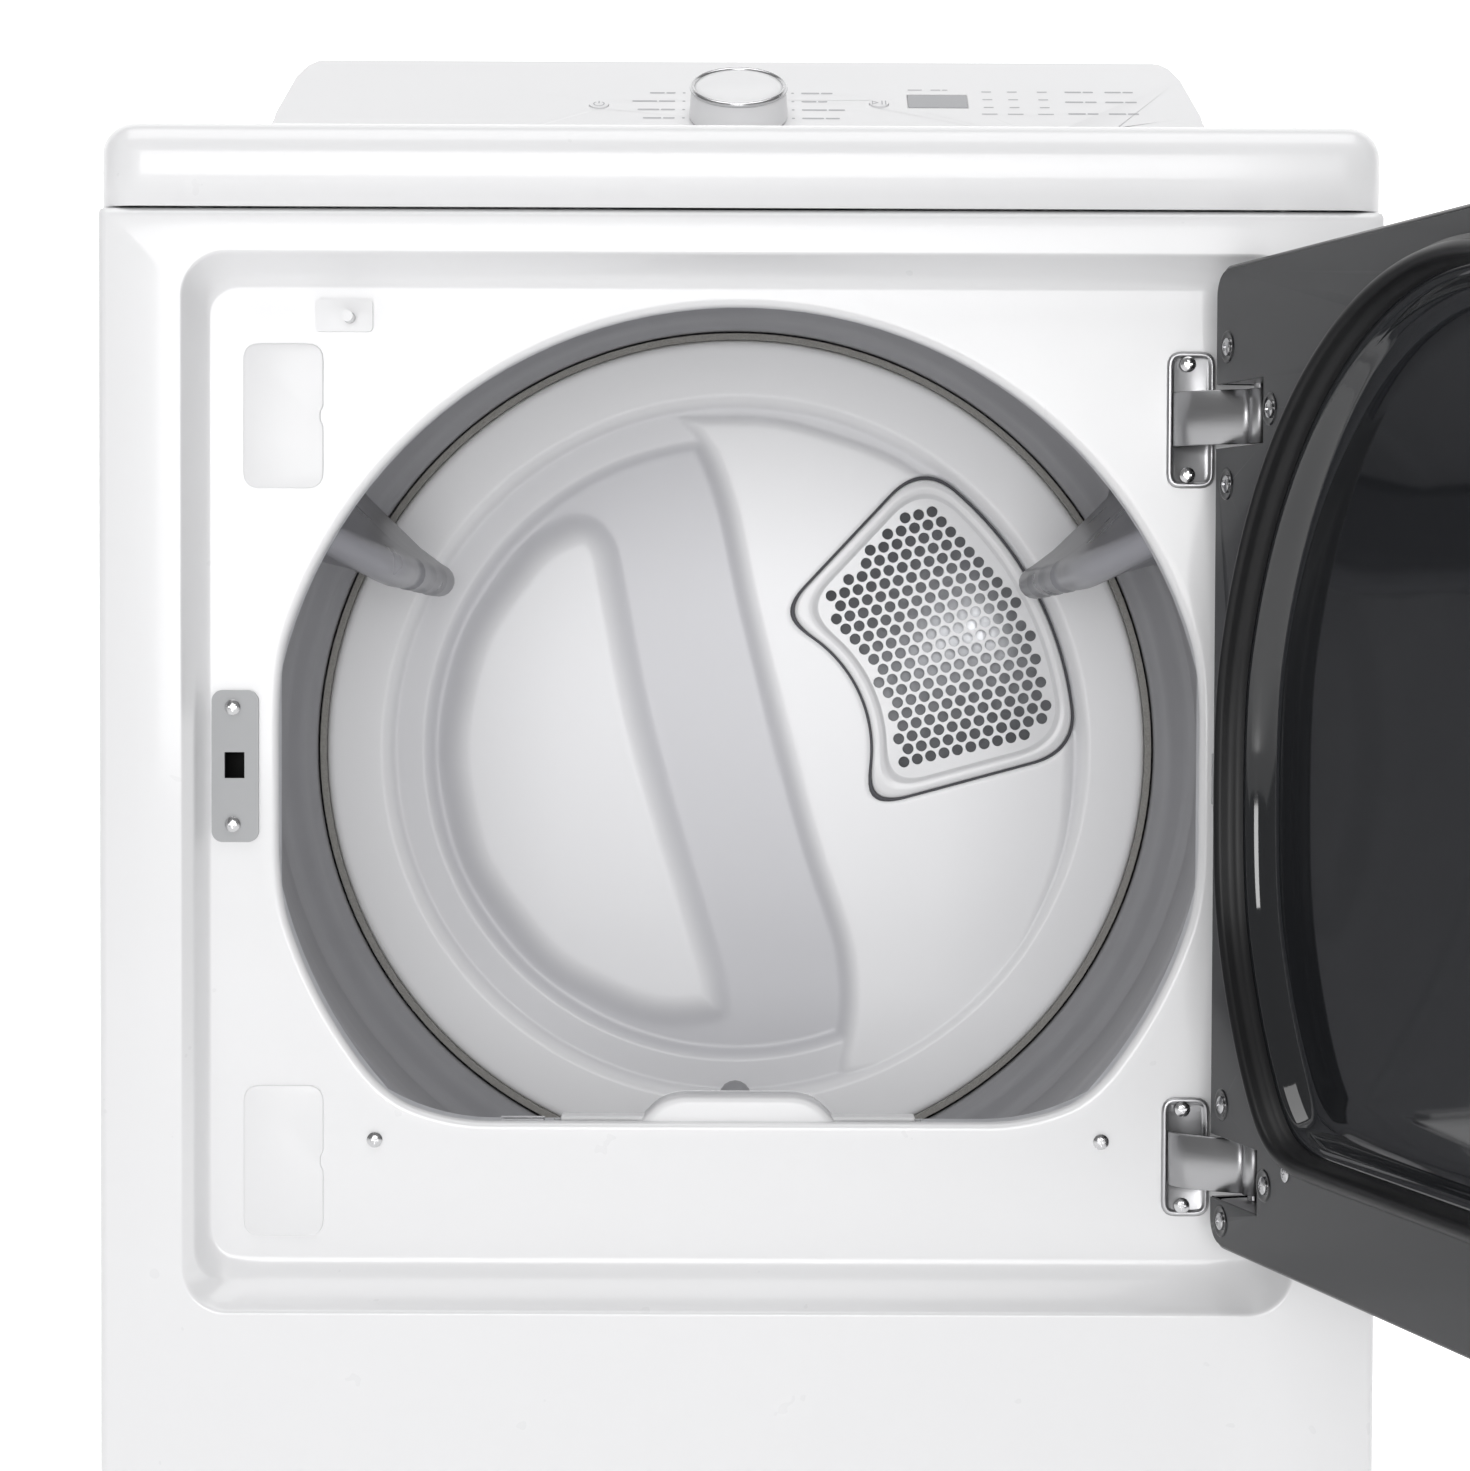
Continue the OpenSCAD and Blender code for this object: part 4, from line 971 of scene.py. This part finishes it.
def button_icons():
    power = joined("power_icon", [
        ring_mark(3.6 * MM, 0.9 * MM, math.radians(125), math.radians(415)),
        flat_mark(rectangle((-0.45 * MM, 0.45 * MM), (0.6 * MM, 4.8 * MM), 0.4 * MM, 2))])
    moved(power, onto_face(-97 * MM, 152 * MM, 0.92 * MM))
    place(power, "power_button", MARKS, "dark_plastic")
    triangle = [(-5 * MM, -3.4 * MM), (-0.2 * MM, 0), (-5 * MM, 3.4 * MM)]
    start = joined("start_icon", [
        ring_triangle(triangle, 0.8 * MM),
        flat_mark(rectangle((1.6 * MM, 2.5 * MM), (-3.4 * MM, 3.4 * MM), 0.3 * MM, 2)),
        flat_mark(rectangle((4.1 * MM, 5.0 * MM), (-3.4 * MM, 3.4 * MM), 0.3 * MM, 2))])
    moved(start, onto_face(98 * MM, 156 * MM, 0.92 * MM))
    place(start, "start_button", MARKS, "dark_plastic")


def ring_triangle(points, width):
    """The outline of a triangle, drawn as a closed band."""
    outer = np.array(points)
    inner = inset(outer, width)
    verts = [(x, y, 0) for x, y in outer] + [(x, y, 0) for x, y in inner]
    faces = [(i, (i + 1) % 3, 3 + (i + 1) % 3, 3 + i) for i in range(3)]
    return add_mesh("mark", verts, faces, False)


knob()
legend()
button_icons()


# ---- fittings on the front panel ----

def hole_covers():
    """The white covers over the hinge holes on the side that isn't used."""
    for name, low, high in (("hinge_hole_cover_upper", 797, 875),
                            ("hinge_hole_cover_lower", 391.5, 473.7)):
        middle = (low + high) / 2
        left, right = -268.3, -225
        corners = [(left, low), (right, low), (right, middle - 5), (right - 1.6, middle - 2.5),
                   (right - 1.6, middle + 2.5), (right, middle + 5), (right, high), (left, high)]
        radii = [9, 9, 2, 2, 2, 2, 9, 9]
        outline = rounded_path(np.array(corners) * MM, [r * MM for r in radii], 5, closed=True)
        cover = plate(name, outline, FLOOR_Y + 0.2 * MM, FLOOR_Y - 1 * MM, 0.8 * MM)
        place(cover, "cabinet", WHITE_PLASTIC, "white_plastic", "hinge_hole_covers")


hole_covers()


def lint_filter_handle():
    """The smooth raised handle of the lint filter behind the sill."""
    lo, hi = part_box("lint_filter")
    profile = rounded_path(np.array([(-56, 450), (-51, 456), (-43, 464), (-33, 467.4), (33, 467.4),
                                     (43, 464), (51, 456), (56, 450)]) * MM,
                           [0, 6 * MM, 9 * MM, 9 * MM, 9 * MM, 9 * MM, 6 * MM, 0], 5)
    base = 450 * MM
    rings = []
    for t in np.linspace(0, math.pi / 2, 6):
        shrink = 4 * MM * (1 - math.sin(t))
        height = np.maximum(profile[:, 1] - base - shrink * 0.9, 0)
        y = -318.5 * MM + 4 * MM * (1 - math.cos(t))
        rings.append(np.stack([profile[:, 0] * (1 - shrink / (56 * MM)), np.full(len(profile), y),
                               base + height], 1))
    rings.append(np.stack([profile[:, 0], np.full(len(profile), -292.2 * MM), profile[:, 1]], 1))
    handle = lofted("lint_filter_handle", rings, cap_first=True, cap_last=True)
    frame_box = box_shell("lint_filter_frame", (-97 * MM, -311 * MM, lo[2]),
                          (97 * MM, -296 * MM, 455.6 * MM),
                          (-86 * MM, 86 * MM), (362 * MM, 440 * MM))
    for obj in (handle, frame_box):
        place(obj, "lint_filter", WHITE_PLASTIC, "white_plastic", "lint_filter")
    bevelled(frame_box, 1.2 * MM)


def box_shell(name, low, high, x_hole, z_hole):
    """A flat frame in the XZ plane with one rectangular opening."""
    outer = np.array([(low[0], low[2]), (high[0], low[2]), (high[0], high[2]), (low[0], high[2])])
    inner = np.array([(x_hole[0], z_hole[0]), (x_hole[1], z_hole[0]), (x_hole[1], z_hole[1]),
                      (x_hole[0], z_hole[1])])
    rings = []
    for outline, y in ((outer, high[1]), (outer, low[1]), (inner, low[1]), (inner, high[1]),
                       (outer, high[1])):
        rings.append(np.stack([outline[:, 0], np.full(4, y), outline[:, 1]], 1))
    return lofted(name, rings)


def hinge_part(height, scale, name):
    """A pressed plate with a raised rim, and the curved strap that carries the hinge pin."""
    half = 36.8 * scale
    outline = rectangle((230 * MM, 256 * MM), ((height - half) * MM, (height + half) * MM), 8 * MM)
    rings = []
    for shrink, rise in ((0, 0.1), (0, 1.5), (0.4, 2.2), (1, 2.5), (2, 2.5), (2.6, 2.3),
                         (3.2, 1.5), (3.8, 1.2)):
        ring = inset(outline, shrink * MM)
        rings.append(np.stack([ring[:, 0], np.full(len(ring), FLOOR_Y - rise * MM), ring[:, 1]], 1))
    base = lofted(name + "_plate", rings, cap_last=True)
    bends = [(234.5, -325), (235, -331), (240, -339), (250, -346), (262, -352.5), (271, -357.2)]
    path = rounded_path(np.array(bends) * MM, 6 * MM, 6)
    along = np.gradient(path, axis=0)
    along /= np.linalg.norm(along, axis=1)[:, None]
    side = np.stack([along[:, 1], -along[:, 0]], 1) * 1.5 * MM
    loop = np.concatenate([path + side, (path - side)[::-1]])
    strips = []
    for dz, shrink in ((-14.5, 0.5), (-14.0, 0), (14.0, 0), (14.5, 0.5)):
        ring = inset(loop, shrink * MM) if shrink else loop
        strips.append(np.stack([ring[:, 0], ring[:, 1], np.full(len(ring), (height + dz) * MM)], 1))
    strap = lofted(name + "_strap", strips, cap_first=True, cap_last=True)
    knuckle = turned(name + "_knuckle", (HINGE[0], HINGE[1], height * MM),
                     [(3.1 * MM, -14.5 * MM), (5.6 * MM, -14.5 * MM), (6 * MM, -14.1 * MM),
                      (6 * MM, 14.1 * MM), (5.6 * MM, 14.5 * MM), (3.1 * MM, 14.5 * MM),
                      (3.1 * MM, -14.5 * MM)], 48, "Z")
    for obj in (base, strap, knuckle):
        place(obj, "cabinet", HINGE_STEEL, "hinge_steel", "hinge_brackets")


def strike_pocket():
    """The well behind the strike plate's hole, a real recess coloured near-black as painted shade."""
    outline = rectangle((-283 * MM, -261.5 * MM), (633 * MM, 662 * MM), 2 * MM, 2)
    rings = [np.stack([outline[:, 0], np.full(len(outline), y), outline[:, 1]], 1)
             for y in (FLOOR_Y + 0.2 * MM, FLOOR_Y + 20 * MM)]
    pocket = lofted("strike_pocket", rings, cap_last=True)
    place(pocket, "cabinet", PIT_SHADE, "dark_plastic")


lint_filter_handle()
hinge_part(HINGE_HEIGHTS[0], 1.0, "hinge_upper")
hinge_part(HINGE_HEIGHTS[1], 0.88, "hinge_lower")
strike_pocket()


# ---- softened edges of the CAD nodes that are kept ----

EDGE_WIDTHS = {
    "console_housing": 2.2, "console_fascia": 0.8, "strike_plate": 0.6,
    "door_switch_housing": 0.7, "door_latch": 0.5, "door_screws": 0.25,
    "cabinet_screws": 0.25, "door_frame": 0.8, "door_glass": 1.2, "door_inner_cover": 0.6,
    "side_panel_left": 0.6, "side_panel_right": 0.6, "rear_panel": 0.5, "exhaust_duct": 0.3,
    "levelling_feet": 0.8, "display_window": 0.3, "power_button": 0.5, "start_button": 0.5,
    "option_button_1": 0.5, "option_button_2": 0.5, "option_button_3": 0.5, "base_pan": 0.4,
    "door_hinge_mounts": 0.4,
}
for node, width in EDGE_WIDTHS.items():
    bevelled(frame["nodes"][node], width * MM)


# ---- stage, light and camera ----

def camera():
    data = bpy.data.cameras.new("camera")
    data.lens = 83.945
    data.sensor_width = 36
    data.clip_start = 0.05
    data.clip_end = 60
    cam = bpy.data.objects.new("camera", data)
    bpy.context.scene.collection.objects.link(cam)
    cam.location = (-0.0079, -2.1784, 0.7214)
    pitch, yaw, roll = math.radians(90 - 1.76), math.radians(-0.17), math.radians(0.21)
    cam.matrix_world = (Matrix.Translation(cam.location) @ Matrix.Rotation(yaw, 4, "Z")
                        @ Matrix.Rotation(pitch, 4, "X") @ Matrix.Rotation(roll, 4, "Z"))
    bpy.context.scene.camera = cam


def area_light(name, place_at, aim, size, power):
    data = bpy.data.lights.new(name, "AREA")
    data.shape = "RECTANGLE"
    data.size, data.size_y = size
    data.energy = power
    light = bpy.data.objects.new(name, data)
    bpy.context.scene.collection.objects.link(light)
    light.location = place_at
    light.rotation_euler = (Vector(aim) - Vector(place_at)).to_track_quat("-Z", "Y").to_euler()
    return light


def backdrop():
    """A pale floor that curves up into a wall behind the appliance."""
    profile = [(y, 0) for y in np.linspace(-12, 1.6, 18)]
    for t in np.linspace(0, math.pi / 2, 16):
        profile.append((1.6 + 2.4 * math.sin(t), 2.4 * (1 - math.cos(t))))
    profile += [(4.0, 9)]
    verts = [(x, y, z) for x in (-11, 11) for y, z in profile]
    n = len(profile)
    faces = [(i, n + i, n + i + 1, i + 1) for i in range(n - 1)]
    sweep = add_mesh("studio_backdrop", verts, faces)
    paint = Shader("backdrop_paper", (0.92, 0.92, 0.92), 0.7)
    paint.bump(paint.noise(40, 2), 0.0002, 0.1)
    paint.set("Emission Color", (1, 1, 1, 1))
    split = paint.nodes.new("ShaderNodeSeparateXYZ")
    glow = paint.nodes.new("ShaderNodeMapRange")
    glow.interpolation_type = "SMOOTHSTEP"
    glow.inputs["From Min"].default_value = -0.4
    glow.inputs["From Max"].default_value = 1.1
    glow.inputs["To Min"].default_value = 0.42
    glow.inputs["To Max"].default_value = 0.75
    paint.links.new(paint.coords, split.inputs["Vector"])
    paint.links.new(split.outputs["Y"], glow.inputs["Value"])
    paint.links.new(glow.outputs["Result"], paint.surface.inputs["Emission Strength"])
    dress(sweep, paint.material)


def studio():
    scene = bpy.context.scene
    scene.view_settings.view_transform = "Standard"
    world = bpy.data.worlds.new("studio_world")
    world.use_nodes = True
    world.node_tree.nodes["Background"].inputs["Color"].default_value = (1, 1, 1, 1)
    world.node_tree.nodes["Background"].inputs["Strength"].default_value = 0.24
    scene.world = world
    backdrop()
    area_light("overhead_softbox", (0, -0.9, 3.6), (0, 0, 0.8), (3.2, 2.2), 54)
    area_light("front_softbox", (-0.15, -6.2, 1.3), (0, 0, 0.64), (2.6, 1.8), 110)
    fill = area_light("drum_fill", (0, -0.296, 0.64), (0, 0.5, 0.64), (0.40, 0.34), 1.5)
    fill.visible_camera = False
    fill.visible_glossy = False


camera()
studio()
